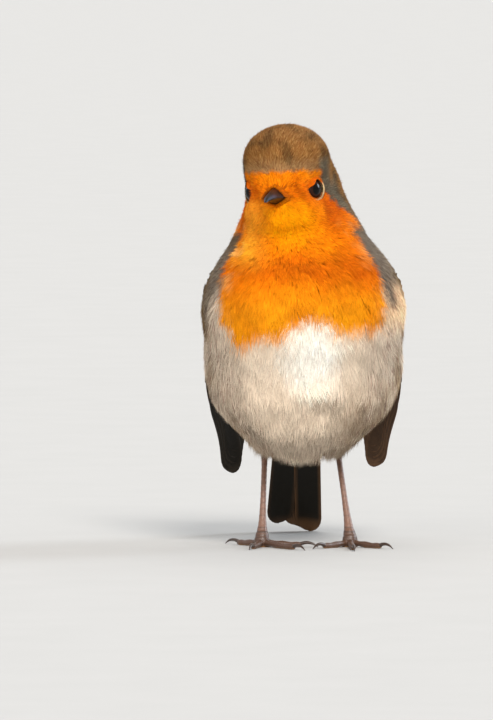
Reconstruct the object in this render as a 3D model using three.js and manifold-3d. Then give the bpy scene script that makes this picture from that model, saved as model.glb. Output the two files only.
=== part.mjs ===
// A European robin (Erithacus rubecula), life size, standing alert on both feet with its wingtips
// drooped beside the tail and its head turned a little to its right.
// Millimetres, +Z up, the bird looks along -Y, and its own left side is +X. The origin lies on the
// floor, under the middle of the bird's outline.
//
// The head, neck and trunk are one soft form: ellipsoids melted together into a distance field, whose
// surface is found along rays from an axis that runs down through the bird. The form is parted by thin
// cuts. Wings and tail are curved leaves, and the legs are tubes along bent paths.
import * as THREE from "three";
import { mergeVertices } from "three/addons/utils/BufferGeometryUtils.js";
import Module from "manifold-3d";

const wasm = await Module();
wasm.setup();

const GAP = 0.3; // between pieces that meet
const MELT = 1.9; // how softly neighbouring ellipsoids flow together

// ---------------------------------------------------------------- materials
const finish = (color, roughness) => new THREE.MeshStandardMaterial({ color, roughness, metalness: 0 });
const ORANGE_PLUMAGE = finish("#e8790f", 0.85);
const BREAST_PLUMAGE = finish("#d9893a", 0.85);
const BELLY_PLUMAGE = finish("#d8d0c2", 0.9);
const WING_PLUMAGE = finish("#6b5a40", 0.75);
const COVERT_PLUMAGE = finish("#7d6c4e", 0.8);
const TAIL_PLUMAGE = finish("#5d4a34", 0.75);
const THIGH_PLUMAGE = finish("#a59c88", 0.9);
const BILL_HORN = finish("#2b2320", 0.4);
const EYE_GLOSS = finish("#120c08", 0.06);
const LEG_SKIN = finish("#6e4e41", 0.55);
const CLAW_HORN = finish("#2a1f1b", 0.4);

// ---------------------------------------------------------------- vectors and solids
const V = (x, y, z) => new THREE.Vector3(x, y, z);
const mix = (a, b, t) => a + (b - a) * t;
const ease = (t) => t * t * (3 - 2 * t);
const radians = THREE.MathUtils.degToRad;

// A value that runs through evenly spaced stations, as a smooth curve.
function profile(...stations) {
  const curve = new THREE.SplineCurve(stations.map((value, i) => new THREE.Vector2(i, value)));
  return (t) => curve.getPoint(THREE.MathUtils.clamp(t, 0, 1)).y;
}

function toSolid(geometry) {
  const bare = geometry.clone();
  bare.deleteAttribute("normal");
  bare.deleteAttribute("uv");
  const merged = mergeVertices(bare, 1e-4);
  return new wasm.Manifold(
    new wasm.Mesh({
      numProp: 3,
      vertProperties: merged.attributes.position.array,
      triVerts: new Uint32Array(merged.index.array),
    }),
  );
}

// The biggest piece of a solid, as a geometry: a cut can leave crumbs.
function toGeometry(solid) {
  const pieces = solid.decompose().sort((a, b) => b.volume() - a.volume());
  const mesh = pieces[0].getMesh();
  const geometry = new THREE.BufferGeometry();
  geometry.setAttribute("position", new THREE.BufferAttribute(new Float32Array(mesh.vertProperties), 3));
  geometry.setIndex(new THREE.BufferAttribute(new Uint32Array(mesh.triVerts), 1));
  const flat = geometry.toNonIndexed();
  flat.computeVertexNormals();
  return flat;
}

// A closed surface from rings of points. Every ring has the same number of points, and each end is
// closed by a fan to the ring's middle. Set inward where the rings wind the other way.
function closedRings(rings, inward = false) {
  const count = rings[0].length;
  const middle = (ring) => ring.reduce((sum, p) => sum.add(p), V(0, 0, 0)).divideScalar(count);
  const points = [...rings.flat(), middle(rings[0]), middle(rings.at(-1))];
  const first = rings.length * count;
  const faces = [];
  const face = (a, b, c) => faces.push(...(inward ? [a, c, b] : [a, b, c]));
  for (let i = 0; i < rings.length - 1; i++) {
    for (let j = 0; j < count; j++) {
      const k = (j + 1) % count;
      const [a, b, c, d] = [i * count + j, i * count + k, (i + 1) * count + j, (i + 1) * count + k];
      face(a, b, c);
      face(b, d, c);
    }
  }
  for (let j = 0; j < count; j++) {
    const k = (j + 1) % count;
    face(first, k, j);
    face(first + 1, (rings.length - 1) * count + j, (rings.length - 1) * count + k);
  }
  const geometry = new THREE.BufferGeometry().setFromPoints(points);
  geometry.setIndex(faces);
  return geometry.toNonIndexed();
}

// ---------------------------------------------------------------- the soft form of head and body
// The head has its own frame: its origin is midway between the eyes, and it looks along its own -Y.
const HEAD_AT = V(-4.5, -11, 92);
const HEAD_TURN = -14; // degrees about +Z, to the bird's right
const HEAD_NOD = 1; // degrees down
const HEAD_TILT = -3; // degrees, its left side up
const headPose = new THREE.Matrix4()
  .makeRotationFromEuler(new THREE.Euler(radians(HEAD_NOD), radians(HEAD_TILT), radians(HEAD_TURN), "ZXY"))
  .setPosition(HEAD_AT);
const intoHead = headPose.clone().invert();

// An ellipsoid: its middle, its half sizes, and its lean about +X in degrees. A positive lean carries
// its top forwards, towards -Y.
function blob(at, radii, lean = 0) {
  return { at, radii, cos: Math.cos(radians(lean)), sin: Math.sin(radians(lean)) };
}
const HEAD_BLOBS = [
  blob([0, 2.0, 8.4], [10.8, 10.5, 8.6]), // raised crown
  blob([0, 1.4, 1.6], [9.8, 10.3, 8.6]), // brain case
  blob([0, -6.2, -0.6], [5.4, 4.6, 4.2]), // forehead down to the bill
  blob([4.6, -1.2, -4.6], [4.8, 6.8, 4.8]), // left cheek
  blob([-4.6, -1.2, -4.6], [4.8, 6.8, 4.8]), // right cheek
  blob([0, -4.6, -5.6], [4.6, 5.2, 3.8]), // chin
];
const BODY_BLOBS = [
  blob([-1.0, -0.6, 90], [10.8, 9.4, 13.5]), // nape
  blob([-1.0, -3.0, 77], [16.6, 16.2, 16.5], 14), // neck and throat
  blob([0, -3.0, 62.5], [25.7, 22.6, 21.5]), // breast
  blob([0, 2.0, 47], [25.0, 24.2, 24.0]), // belly
  blob([0, 8.5, 68], [17.5, 13, 14], 30), // shoulders
  blob([0, 16.5, 53], [19, 17.5, 21], 38), // back
  blob([0, 27, 40], [11.5, 15.5, 10.5], -40), // rump
  blob([-0.6, 24, 34], [11, 18.5, 9.3], -37), // vent and undertail
];

// The plumage lies lower round each eye.
const EYE_OPENING = V(8.5, -3.5, 0.1);
const ORBIT_DEPTH = 1.6;
const ORBIT_REACH = 3.4;
const mirrored = (point, side) => V(point.x * side, point.y, point.z);

function ellipsoidDistance(p, { at, radii, cos, sin }) {
  const [x, dy, dz] = [p.x - at[0], p.y - at[1], p.z - at[2]];
  const [y, z] = [cos * dy + sin * dz, cos * dz - sin * dy];
  const near = Math.hypot(x / radii[0], y / radii[1], z / radii[2]);
  const steep = Math.hypot(x / radii[0] ** 2, y / radii[1] ** 2, z / radii[2] ** 2);
  return (near * (near - 1)) / Math.max(steep, 1e-9);
}

// Distance from the plumage's outline, negative inside: a soft minimum over all the ellipsoids.
function plumageDistance(p) {
  const q = p.clone().applyMatrix4(intoHead);
  let sum = 0;
  for (const b of HEAD_BLOBS) sum += Math.exp(-ellipsoidDistance(q, b) / MELT);
  for (const b of BODY_BLOBS) sum += Math.exp(-ellipsoidDistance(p, b) / MELT);
  const toEye = Math.min(q.distanceTo(EYE_OPENING), q.distanceTo(mirrored(EYE_OPENING, -1)));
  return ORBIT_DEPTH * Math.exp(-((toEye / ORBIT_REACH) ** 2)) - MELT * Math.log(sum);
}

// The form's axis runs from the head's middle to the belly's. Rays fan out over the crown, run level
// down the neck and breast, and fan out again under the belly.
const AXIS_TOP = V(-4.5, -8, 96);
const AXIS_FOOT = V(0, 10, 45);
const CROWN_SHARE = 0.3;
const BELLY_SHARE = 0.36;
const FARTHEST = 60;
const TAILWARD = 0.25; // how much closer the rays stand towards the tail

function ray(u, v) {
  const start = V(0, 0, 0);
  let polar = Math.PI / 2;
  if (u < CROWN_SHARE) polar *= u / CROWN_SHARE;
  if (u > 1 - BELLY_SHARE) polar *= 2 - (1 - u) / BELLY_SHARE;
  const down = THREE.MathUtils.clamp((u - CROWN_SHARE) / (1 - CROWN_SHARE - BELLY_SHARE), 0, 1);
  start.lerpVectors(AXIS_TOP, AXIS_FOOT, down);
  const around = 2 * Math.PI * v + TAILWARD * Math.cos(2 * Math.PI * v);
  const aim = V(Math.sin(polar) * Math.cos(around), Math.sin(polar) * Math.sin(around), Math.cos(polar));
  return { start, aim };
}

// The point where the ray meets the form's surface, offset outwards by grow.
function surfacePoint(u, v, grow = 0) {
  const { start, aim } = ray(u, v);
  let [near, far] = [0, FARTHEST];
  for (let i = 0; i < 26; i++) {
    const half = (near + far) / 2;
    if (plumageDistance(start.clone().addScaledVector(aim, half)) < grow) near = half;
    else far = half;
  }
  return start.addScaledVector(aim, near);
}

const FORM_RINGS = 34;
const FORM_SIDES = 30;
function form(grow = 0) {
  const rings = [];
  for (let i = 1; i < FORM_RINGS; i++) {
    const ring = [];
    for (let j = 0; j < FORM_SIDES; j++) ring.push(surfacePoint(i / FORM_RINGS, j / FORM_SIDES, grow));
    rings.push(ring);
  }
  return toSolid(closedRings(rings, true));
}

const wholeForm = form();
const clearForm = form(GAP);

// Everything above a plane through the point. The plane leans about +X by so many degrees.
const WORLD = 400;
function above(point, lean) {
  const box = new THREE.BoxGeometry(WORLD, WORLD, WORLD).translate(0, 0, WORLD / 2);
  box.rotateX(radians(lean)).translate(point.x, point.y, point.z);
  return toSolid(box);
}

const bird = new THREE.Group();
const headGroup = new THREE.Group();
headGroup.applyMatrix4(headPose);
bird.add(headGroup);

function add(name, shape, material, group = bird) {
  const geometry = shape.isBufferGeometry ? shape : toGeometry(shape);
  const mesh = new THREE.Mesh(geometry, material);
  mesh.name = name;
  group.add(mesh);
  return mesh;
}

// ---------------------------------------------------------------- eyes
// Each eyeball sits behind the round opening between the lids, and looks out along its own axis.
const EYE_RADIUS = 3.1;
const EYE_DEPTH = 1.95; // from the opening to the ball's middle
const EYE_FORWARD = 24; // degrees ahead of straight sideways
const EYE_SIDES = 14;
const EYE_RINGS = 10;
const eyeAxis = V(Math.cos(radians(EYE_FORWARD)), -Math.sin(radians(EYE_FORWARD)), 0);
const eyeMiddle = EYE_OPENING.clone().addScaledVector(eyeAxis, -EYE_DEPTH);

const sockets = [];
for (const [name, side] of [["left", 1], ["right", -1]]) {
  const middle = mirrored(eyeMiddle, side);
  const ball = new THREE.SphereGeometry(EYE_RADIUS, EYE_SIDES, EYE_RINGS);
  add(`eye_${name}`, ball, EYE_GLOSS, headGroup).position.copy(middle);
  const socket = new THREE.SphereGeometry(EYE_RADIUS + GAP, EYE_SIDES, EYE_RINGS);
  socket.translate(middle.x, middle.y, middle.z).applyMatrix4(headPose);
  sockets.push(toSolid(socket));
}

// ---------------------------------------------------------------- head, neck and trunk
const HEAD_CUT = { at: V(-3, -4, 87), lean: 14 };
const NECK_CUT = { at: V(0, 0, 77), lean: 16 };
const raised = ({ at, lean }, rise) => above(at.clone().setZ(at.z + rise), lean);

let head = wholeForm.intersect(raised(HEAD_CUT, GAP / 2));
for (const socket of sockets) head = head.subtract(socket);
const neck = wholeForm.intersect(raised(NECK_CUT, GAP / 2)).subtract(raised(HEAD_CUT, -GAP / 2));
add("head", head, ORANGE_PLUMAGE);
add("neck", neck, BREAST_PLUMAGE);
add("trunk", wholeForm.subtract(raised(NECK_CUT, -GAP / 2)), BELLY_PLUMAGE);

// ---------------------------------------------------------------- bill
// Two half cones that meet along the gape line, in the head's own frame. The root lies in the face.
const BILL_ROOT = -7.5;
const BILL_TIP = -22.4;
const LOWER_SHORTER = 0.7;
const BILL_STEPS = 8;
const BILL_SIDES = 8;
const gapeHeight = profile(-1.9, -1.35, -1.15, -1.3, -1.75);
const billHalfWidth = profile(4.1, 3.1, 2.0, 1.25, 0.35);
const upperRise = profile(3.6, 2.7, 1.9, 1.2, 0.35);
const lowerDrop = profile(2.1, 1.75, 1.3, 0.85, 0.3);

function mandible(rise, shorter, way) {
  const rings = [];
  for (let i = 0; i <= BILL_STEPS; i++) {
    const s = i / BILL_STEPS;
    const y = mix(BILL_ROOT, BILL_TIP + shorter, s);
    const ring = [];
    for (let j = 0; j <= BILL_SIDES; j++) {
      const around = (Math.PI * j) / BILL_SIDES;
      const z = gapeHeight(s) + way * (GAP / 2 + rise(s) * Math.sin(around));
      ring.push(V(billHalfWidth(s) * Math.cos(around), y, z));
    }
    rings.push(ring);
  }
  return toSolid(closedRings(rings, way < 0));
}

const clearHead = toSolid(toGeometry(clearForm).applyMatrix4(intoHead));
add("bill_upper", mandible(upperRise, 0, 1).subtract(clearHead), BILL_HORN, headGroup);
add("bill_lower", mandible(lowerDrop, LOWER_SHORTER, -1).subtract(clearHead), BILL_HORN, headGroup);

// ---------------------------------------------------------------- leaves: wings and tail
// A leaf is a thin closed plate over part of a curved sheet. The sheet is a function of s, from root to
// tip, and t, across. low and high give the plate's edges in t, and lift its height over the sheet.
const NUDGE = 1e-3;
function sheetNormal(sheet, s, t) {
  const along = sheet(s + NUDGE, t).sub(sheet(s - NUDGE, t));
  const across = sheet(s, t + NUDGE).sub(sheet(s, t - NUDGE));
  return along.cross(across).normalize();
}

function leaf({ sheet, from, to, low, high, lift, thick, steps, across, side = 1 }) {
  const rings = [];
  for (let i = 0; i <= steps; i++) {
    const share = (1 - Math.cos((Math.PI * i) / steps)) / 2; // closer together towards the ends
    const s = mix(from, to, share);
    const [under, over] = [[], []];
    for (let j = 0; j <= across; j++) {
      const t = mix(low(share), high(share), j / across);
      const normal = sheetNormal(sheet, s, t).multiplyScalar(side);
      under.push(sheet(s, t).addScaledVector(normal, lift(s)));
      over.push(sheet(s, t).addScaledVector(normal, lift(s) + thick));
    }
    rings.push([...under, ...over.reverse()]);
  }
  return toSolid(closedRings(rings, side < 0));
}

// Moves a point out of the form until it lies clear of it, along the form's own slope.
function pushClear(point, clear) {
  const probe = 0.05;
  for (let i = 0; i < 4; i++) {
    const here = plumageDistance(point);
    if (here >= clear) return point;
    const slope = V(
      plumageDistance(point.clone().setX(point.x + probe)) - here,
      plumageDistance(point.clone().setY(point.y + probe)) - here,
      plumageDistance(point.clone().setZ(point.z + probe)) - here,
    ).divideScalar(probe);
    point.addScaledVector(slope, (clear - here) / slope.lengthSq());
  }
  return point;
}

// The folded wing runs from the wrist to the wingtip. Its sheet spans from the lower edge, which the
// longest flight feathers make, to the upper edge beside the back, and bulges outwards between them.
// Where it lies on the body it is pushed clear.
const WING_CLEAR = 0.4;
const WING_BULGE = 2.2;
const wingLower = new THREE.CatmullRomCurve3([
  V(21, 1, 65), V(24.6, 8, 56), V(25.1, 17, 45), V(24.2, 26.5, 35.5), V(22, 36.5, 25.5), V(20, 45, 16.6),
]);
const wingUpper = new THREE.CatmullRomCurve3([
  V(15, 5, 75), V(15, 14, 70.5), V(13, 24, 63.5), V(11, 33, 54), V(10.8, 40.5, 40), V(13.4, 47.5, 17),
]);
function wingSheet(side, droop) {
  return (s, t) => {
    const share = THREE.MathUtils.clamp(s, 0, 1);
    const point = wingLower.getPoint(share).lerp(wingUpper.getPoint(share), t);
    point.x += WING_BULGE * 4 * t * (1 - t) * (1 - share ** 2);
    point.z += droop * share ** 3;
    return pushClear(mirrored(point, side), WING_CLEAR);
  };
}

// A blunt leaf outline: the edge closes in towards either end along a quarter ellipse.
const rounded = (share, root, tip) =>
  Math.sqrt(Math.max(0, 1 - Math.max(0, 1 - share / root) ** 2)) *
  Math.sqrt(Math.max(0, 1 - Math.max(0, 1 - (1 - share) / tip) ** 2));
const NARROWEST = 0.04;

// Each layer lies over the next one outwards, and sinks to the sheet where that one has not begun.
const WING_THICK = 0.55;
const LAYER_STEP = WING_THICK + GAP;
const risen = (s, start) => LAYER_STEP * ease(THREE.MathUtils.clamp((s - start) / 0.1, 0, 1));
const WING_LAYERS = [
  {
    name: "coverts", material: COVERT_PLUMAGE, from: 0.02, to: 0.47, root: 0.3, tip: 0.35,
    low: 0.03, high: 1.0, lift: (s) => risen(s, 0.25) + risen(s, 0.42),
  },
  {
    name: "secondaries", material: WING_PLUMAGE, from: 0.36, to: 0.8, root: 0.12, tip: 0.45,
    low: 0.1, high: 1.0, lift: (s) => risen(s, 0.42),
  },
  {
    name: "primaries", material: WING_PLUMAGE, from: 0.53, to: 1.0, root: 0.1, tip: 0.3,
    low: 0.0, high: 0.97, lift: () => 0,
  },
];
for (const [name, side, droop] of [["left", 1, 1.6], ["right", -1, 0]]) {
  const sheet = wingSheet(side, droop);
  for (const { name: layer, material, from, to, root, tip, low, high, lift } of WING_LAYERS) {
    const middle = (low + high) / 2;
    const half = (share) => ((high - low) / 2) * Math.max(NARROWEST, rounded(share, root, tip));
    const plate = leaf({
      sheet, from, to, lift, thick: WING_THICK, steps: 10, across: 5, side,
      low: (share) => middle - half(share), high: (share) => middle + half(share),
    });
    add(`wing_${name}_${layer}`, plate, material);
  }
}

// The closed tail is two fans of feathers, one slid partly over the other, with a shallow notch.
const TAIL_ROOT = V(-1, 31, 42);
const TAIL_TIP = V(-2.2, 72, 1.7);
const TAIL_HALF = profile(4.4, 5.0, 5.8, 6.6, 7.4);
const TAIL_THICK = 1.4;
function tailSheet(s, t) {
  const point = TAIL_ROOT.clone().lerp(TAIL_TIP, s);
  point.x += TAIL_HALF(s) * t;
  point.z -= 0.6 * t * t;
  return point;
}
const tailFan = (low, high, reach) => {
  const middle = (low + high) / 2;
  const half = (share) => ((high - low) / 2) * Math.max(NARROWEST, rounded(share, 0.02, 0.13));
  return leaf({
    sheet: tailSheet, from: 0, to: reach, lift: () => -TAIL_THICK / 2, thick: TAIL_THICK, steps: 8, across: 4,
    low: (share) => middle - half(share), high: (share) => middle + half(share), side: -1,
  });
};
const tail = tailFan(-1, 0.25, 0.955).add(tailFan(-0.25, 1, 1)).subtract(clearForm);
add("tail", tail, TAIL_PLUMAGE);

// ---------------------------------------------------------------- legs and feet
// A tube of rings along a path, with its underside held at the floor, which leaves a small flat there.
function tube(path, radius, steps, sides) {
  const rings = [];
  const run = path.getPoint(1).sub(path.getPoint(0)).normalize();
  const level = Math.abs(run.z) > 0.7 ? V(0, 1, 0) : V(0, 0, 1); // steadies the rings' turn about the path
  for (let i = 0; i <= steps; i++) {
    const s = i / steps;
    const along = path.getTangent(s);
    const across = along.clone().cross(level).normalize();
    const up = across.clone().cross(along);
    const ring = [];
    for (let j = 0; j < sides; j++) {
      const around = (2 * Math.PI * (j + 0.5)) / sides;
      const point = path.getPoint(s);
      point.addScaledVector(across, radius(s) * Math.cos(around));
      point.addScaledVector(up, radius(s) * Math.sin(around));
      point.z = Math.max(point.z, 0);
      ring.push(point);
    }
    rings.push(ring);
  }
  return toSolid(closedRings(rings, true));
}
const curve = (...points) => new THREE.CatmullRomCurve3(points);

const BALL_RADIUS = 2.05; // where the toes meet
const BALL_HEIGHT = 2.8;
const BALL_SUNK = 0.4; // the shank's path ends this far under the floor, so that its end is a flat sole
const TOE_HEIGHTS = [1.15, 0.95, 0.7, 0.7]; // of a toe's middle over the floor, from root to tip
const CLAW_HEIGHTS = [0.85, 1.0, 0.25];
const TOE_RADIUS = profile(0.78, 0.86, 0.78, 0.9, 0.78, 0.86, 0.7);
const CLAW_RADIUS = profile(0.55, 0.5, 0.4, 0.26);
const TOES = { hallux: [8, 5.5], inner: [8, 4.2], middle: [13, 5], outer: [9, 4.2] }; // toe and claw
const LEGS = [
  {
    name: "left", foot: V(11.9, 4, 0), ankle: V(9.0, 13, 24.5), hip: V(8.6, 7, 40),
    turns: { hallux: 184, inner: -40, middle: 3, outer: 44 }, // degrees from straight ahead
  },
  {
    name: "right", foot: V(-10.6, 4, 0), ankle: V(-9.9, 13, 24), hip: V(-9.4, 7, 40),
    turns: { hallux: 216, inner: 76, middle: 32, outer: -12 },
  },
];

const THIGH_CLEAR = 0.8; // the two ends lie aslant, so this is more than the gap
const thighRadius = profile(7.5, 7.5, 6.2, 3.9, 1.7);
const tarsusRadius = profile(1.15, 0.85, 0.75, 0.74, 0.76, 0.85, 1.35, BALL_RADIUS, BALL_RADIUS);
for (const { name, foot, ankle, hip, turns } of LEGS) {
  const hem = ankle.clone().setZ(ankle.z + THIGH_CLEAR);
  add(`thigh_${name}`, tube(curve(hip, hem), thighRadius, 6, 12).subtract(clearForm), THIGH_PLUMAGE);

  const overFoot = foot.clone().setZ(BALL_HEIGHT);
  const heel = ankle.clone().setZ(ankle.z - GAP);
  const shank = curve(heel, heel.clone().lerp(overFoot, 0.5), overFoot, foot.clone().setZ(-BALL_SUNK));
  add(`tarsus_${name}`, tube(shank, tarsusRadius, 14, 10), LEG_SKIN);

  for (const [toe, [length, clawLength]] of Object.entries(TOES)) {
    const turn = radians(turns[toe]);
    const ahead = V(Math.sin(turn), -Math.cos(turn), 0);
    const spot = (reach, z) => foot.clone().addScaledVector(ahead, reach).setZ(z);

    const start = BALL_RADIUS + GAP;
    const end = start + length;
    const knuckles = [0, 0.3, 0.65, 1].map((share, i) => spot(mix(start, end, share), TOE_HEIGHTS[i]));
    add(`toe_${name}_${toe}`, tube(curve(...knuckles), TOE_RADIUS, 8, 8), LEG_SKIN);

    const root = end + GAP;
    const hook = [0, 0.5, 1].map((share, i) => spot(root + clawLength * share, CLAW_HEIGHTS[i]));
    add(`claw_${name}_${toe}`, tube(curve(...hook), CLAW_RADIUS, 4, 6), CLAW_HORN);
  }
}

// ---------------------------------------------------------------- the frame
// The origin goes under the middle of the outline.
const outline = new THREE.Box3().setFromObject(bird);
const middle = outline.getCenter(V(0, 0, 0));
bird.position.set(-middle.x, -middle.y, 0);

export default bird;
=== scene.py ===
import math

import bpy
import numpy as np
from mathutils import Matrix, Vector


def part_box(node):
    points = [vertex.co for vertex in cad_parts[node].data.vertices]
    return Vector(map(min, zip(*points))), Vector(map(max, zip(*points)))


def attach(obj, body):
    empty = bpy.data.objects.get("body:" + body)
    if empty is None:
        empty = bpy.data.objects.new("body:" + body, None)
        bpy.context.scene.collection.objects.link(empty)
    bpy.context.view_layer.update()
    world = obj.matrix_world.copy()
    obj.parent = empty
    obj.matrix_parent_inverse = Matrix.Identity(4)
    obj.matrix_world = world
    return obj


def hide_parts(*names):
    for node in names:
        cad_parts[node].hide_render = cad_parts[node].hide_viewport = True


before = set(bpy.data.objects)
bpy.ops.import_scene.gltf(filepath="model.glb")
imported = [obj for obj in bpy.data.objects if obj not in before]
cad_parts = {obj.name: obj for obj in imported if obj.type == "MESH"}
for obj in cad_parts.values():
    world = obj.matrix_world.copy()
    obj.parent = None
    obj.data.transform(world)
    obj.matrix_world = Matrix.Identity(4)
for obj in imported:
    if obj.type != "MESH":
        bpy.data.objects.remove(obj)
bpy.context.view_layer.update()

# ---------------------------------------------------------------- the bird's own frame
# A robin that stands upright and looks a little to its right. Shapes are worked out in millimetres in
# the bird's own frame: +Z up, the bird faces -Y, and its left side is +X. The head has a frame of its
# own, with its origin midway between the eyes. The left eyeball ties both to the fixed frame.
HEAD_AT = np.array([-4.5, -11.0, 92.0])
HEAD_TURN = -14  # degrees about +Z, to the bird's right
HEAD_NOD = 1  # degrees down
HEAD_TILT = -3  # degrees, its left side up


def turned(axis, degrees):
    """The matrix of a turn about one axis."""
    return np.array(Matrix.Rotation(math.radians(degrees), 3, axis))


HEAD_POSE = turned("Z", HEAD_TURN) @ turned("X", HEAD_NOD) @ turned("Y", HEAD_TILT)


def from_head(points):
    """Points of the head's frame in the bird's: turned, then moved to the head's place."""
    return np.asarray(points, float) @ HEAD_POSE.T + HEAD_AT


def into_head(points):
    """The reverse of from_head."""
    return (points - HEAD_AT) @ HEAD_POSE


EYE_OPENING = np.array([8.5, -3.5, 0.1])
EYE_RADIUS = 3.1
EYE_DEPTH = 1.95  # from the opening to the ball's middle
EYE_FORWARD = 24  # degrees ahead of straight sideways
EYE_AXIS = np.array([math.cos(math.radians(EYE_FORWARD)), -math.sin(math.radians(EYE_FORWARD)), 0])
EYE_MIDDLE = EYE_OPENING - EYE_DEPTH * EYE_AXIS
MIRROR = np.array([-1.0, 1.0, 1.0])

MM = 0.001
EYE_BOX = np.array([list(corner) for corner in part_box("eye_left")])
SHIFT = EYE_BOX.mean(0) / MM - from_head(EYE_MIDDLE)


def metres(points):
    """Points of the bird's frame, in the fixed frame and in metres."""
    return (np.asarray(points, float) + SHIFT) * MM


# ---------------------------------------------------------------- studio: floor, lights, camera
# A plain pale floor under soft lamps. The largest lamp hangs high in front, towards the bird's left,
# a wide weak one fills from low in front, one lights the back, and a small cool one glints in the eye.
# The lens is long, so that lines stay true.
CAMERA_ELEVATION = 2.5  # degrees
CAMERA_DISTANCE = 3000
CAMERA_AIM = np.array([-14.6, 0, 48.2])
FRAME_HEIGHT = 184.6  # of the picture, at the bird
SENSOR = 36.0  # the long side
FLOOR_REACH = 20000
FLOOR_COLOUR = (182, 180, 177)
FLOOR_SHADE = (177, 175, 172)
WARM = (1.0, 0.97, 0.93)
COOL = (0.80, 0.90, 1.0)
LAMPS = {  # turn, height and spread in degrees, strength, and colour
    "lamp_key": (11, 35, 18, 3.15, WARM),
    "lamp_fill": (-26, 1, 70, 2.3, WARM),
    "lamp_back": (170, 45, 50, 0.9, WARM),
    "lamp_glint": (112, 25, 24, 1.8, COOL),
}
SKY_COLOUR = (0.93, 0.96, 1.0)
SKY_STRENGTH = 0.72


def paint(red, green, blue):
    """A linear colour from display values of 0 to 255."""
    shown = np.array([red, green, blue]) / 255
    return np.where(shown <= 0.04045, shown / 12.92, ((shown + 0.055) / 1.055) ** 2.4)


class Value:
    """A number in a material. Arithmetic on it adds Math nodes."""

    def __init__(self, finish, socket):
        self.finish = finish
        self.socket = socket

    def math(self, operation, *numbers):
        sockets = dict(enumerate(numbers))
        return self.finish.node("ShaderNodeMath", {"operation": operation}, sockets)

    def __add__(self, other):
        return self.math("ADD", self, other)

    def __sub__(self, other):
        return self.math("SUBTRACT", self, other)

    def __rsub__(self, other):
        return self.math("SUBTRACT", other, self)

    def __mul__(self, other):
        return self.math("MULTIPLY", self, other)

    def __pow__(self, other):
        return self.math("POWER", self, other)

    __radd__ = __add__
    __rmul__ = __mul__

    def between(self, low, high):
        """0 below low, 1 above high, with a smooth S between."""
        settings = {"interpolation_type": "SMOOTHSTEP"}
        return self.finish.node("ShaderNodeMapRange", settings, {0: self, 1: low, 2: high})


class Finish:
    """A procedural material round one Principled shader, whose constants are set on its sockets."""

    def __init__(self, name, constants):
        self.material = bpy.data.materials.new(name)
        self.material.use_nodes = True
        self.tree = self.material.node_tree
        self.shader = self.tree.nodes["Principled BSDF"]
        for socket, value in constants.items():
            self.shader.inputs[socket].default_value = value

    def node(self, kind, settings, sockets, output=0):
        node = self.tree.nodes.new(kind)
        for name, value in settings.items():
            if name == "stops":
                stops = node.color_ramp.elements
                while len(stops) < len(value):
                    stops.new(1)
                for stop, (place, colour) in zip(stops, value):
                    stop.position = place
                    stop.color = (*colour, 1)
            else:
                setattr(node, name, value)
        for name, value in sockets.items():
            if isinstance(value, Value):
                self.tree.links.new(value.socket, node.inputs[name])
            else:
                node.inputs[name].default_value = value
        return Value(self, node.outputs[output])

    def place(self):
        return self.node("ShaderNodeTexCoord", {}, {}, "Object")

    def noise(self, scale, detail=3, at=None):
        """Uneven pattern of 0 to 1. Scale counts patches in a metre."""
        at = self.place() if at is None else at
        return self.node("ShaderNodeTexNoise", {}, {"Vector": at, "Scale": scale, "Detail": detail})

    def mixed(self, share, first, second, blend="MIX"):
        """One colour over another. Colours are sockets, or three linear numbers."""
        colours = [c if isinstance(c, Value) else (*c, 1) for c in (first, second)]
        settings = {"data_type": "RGBA", "blend_type": blend}
        return self.node("ShaderNodeMix", settings, {0: share, 6: colours[0], 7: colours[1]}, 2)

    def feed(self, socket, value):
        self.tree.links.new(value.socket, self.shader.inputs[socket])

    def bump(self, height, distance, strength=1.0):
        """Relief from a height of 0 to 1, which stands for the distance in mm."""
        sockets = {"Height": height, "Distance": distance * MM, "Strength": strength}
        self.feed("Normal", self.node("ShaderNodeBump", {}, sockets))


def outward(points, faces):
    """Triangles, turned over where together they enclose a negative volume."""
    a, b, c = (points[faces[:, k], :3] for k in range(3))
    volume = (a * np.cross(b, c)).sum()
    return faces[:, ::-1] if volume < 0 else faces


def make_piece(name, points, faces, finish, channels=(), uv_name=None, normals=None):
    """A mesh object from points in mm and triangles.

    Each point holds its place and then the named channels: plumage is three numbers of colour, and
    uv is two numbers that become the UV map uv_name. Normals, where given, shade the points.
    """
    mesh = bpy.data.meshes.new(name)
    mesh.vertices.add(len(points))
    mesh.vertices.foreach_set("co", metres(points[:, :3]).ravel())
    mesh.loops.add(faces.size)
    mesh.loops.foreach_set("vertex_index", faces.ravel().astype(np.int32))
    mesh.polygons.add(len(faces))
    mesh.polygons.foreach_set("loop_start", np.arange(0, faces.size, 3, dtype=np.int32))
    mesh.polygons.foreach_set("use_smooth", np.ones(len(faces), bool))
    column = 3
    for channel in channels:
        if channel == "plumage":
            layer = mesh.color_attributes.new("plumage", "FLOAT_COLOR", "POINT")
            opaque = np.ones((len(points), 4))
            opaque[:, :3] = points[:, column : column + 3]
            layer.data.foreach_set("color", opaque.ravel())
            column += 3
        if channel == "uv":
            layer = mesh.uv_layers.new(name=uv_name)
            layer.data.foreach_set("uv", points[faces.ravel(), column : column + 2].ravel())
            column += 2
    mesh.update(calc_edges=True)
    if normals is not None:
        mesh.normals_split_custom_set_from_vertices(normals)
    mesh.materials.append(finish.material)
    piece = bpy.data.objects.new(name, mesh)
    bpy.context.scene.collection.objects.link(piece)
    return piece


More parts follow.
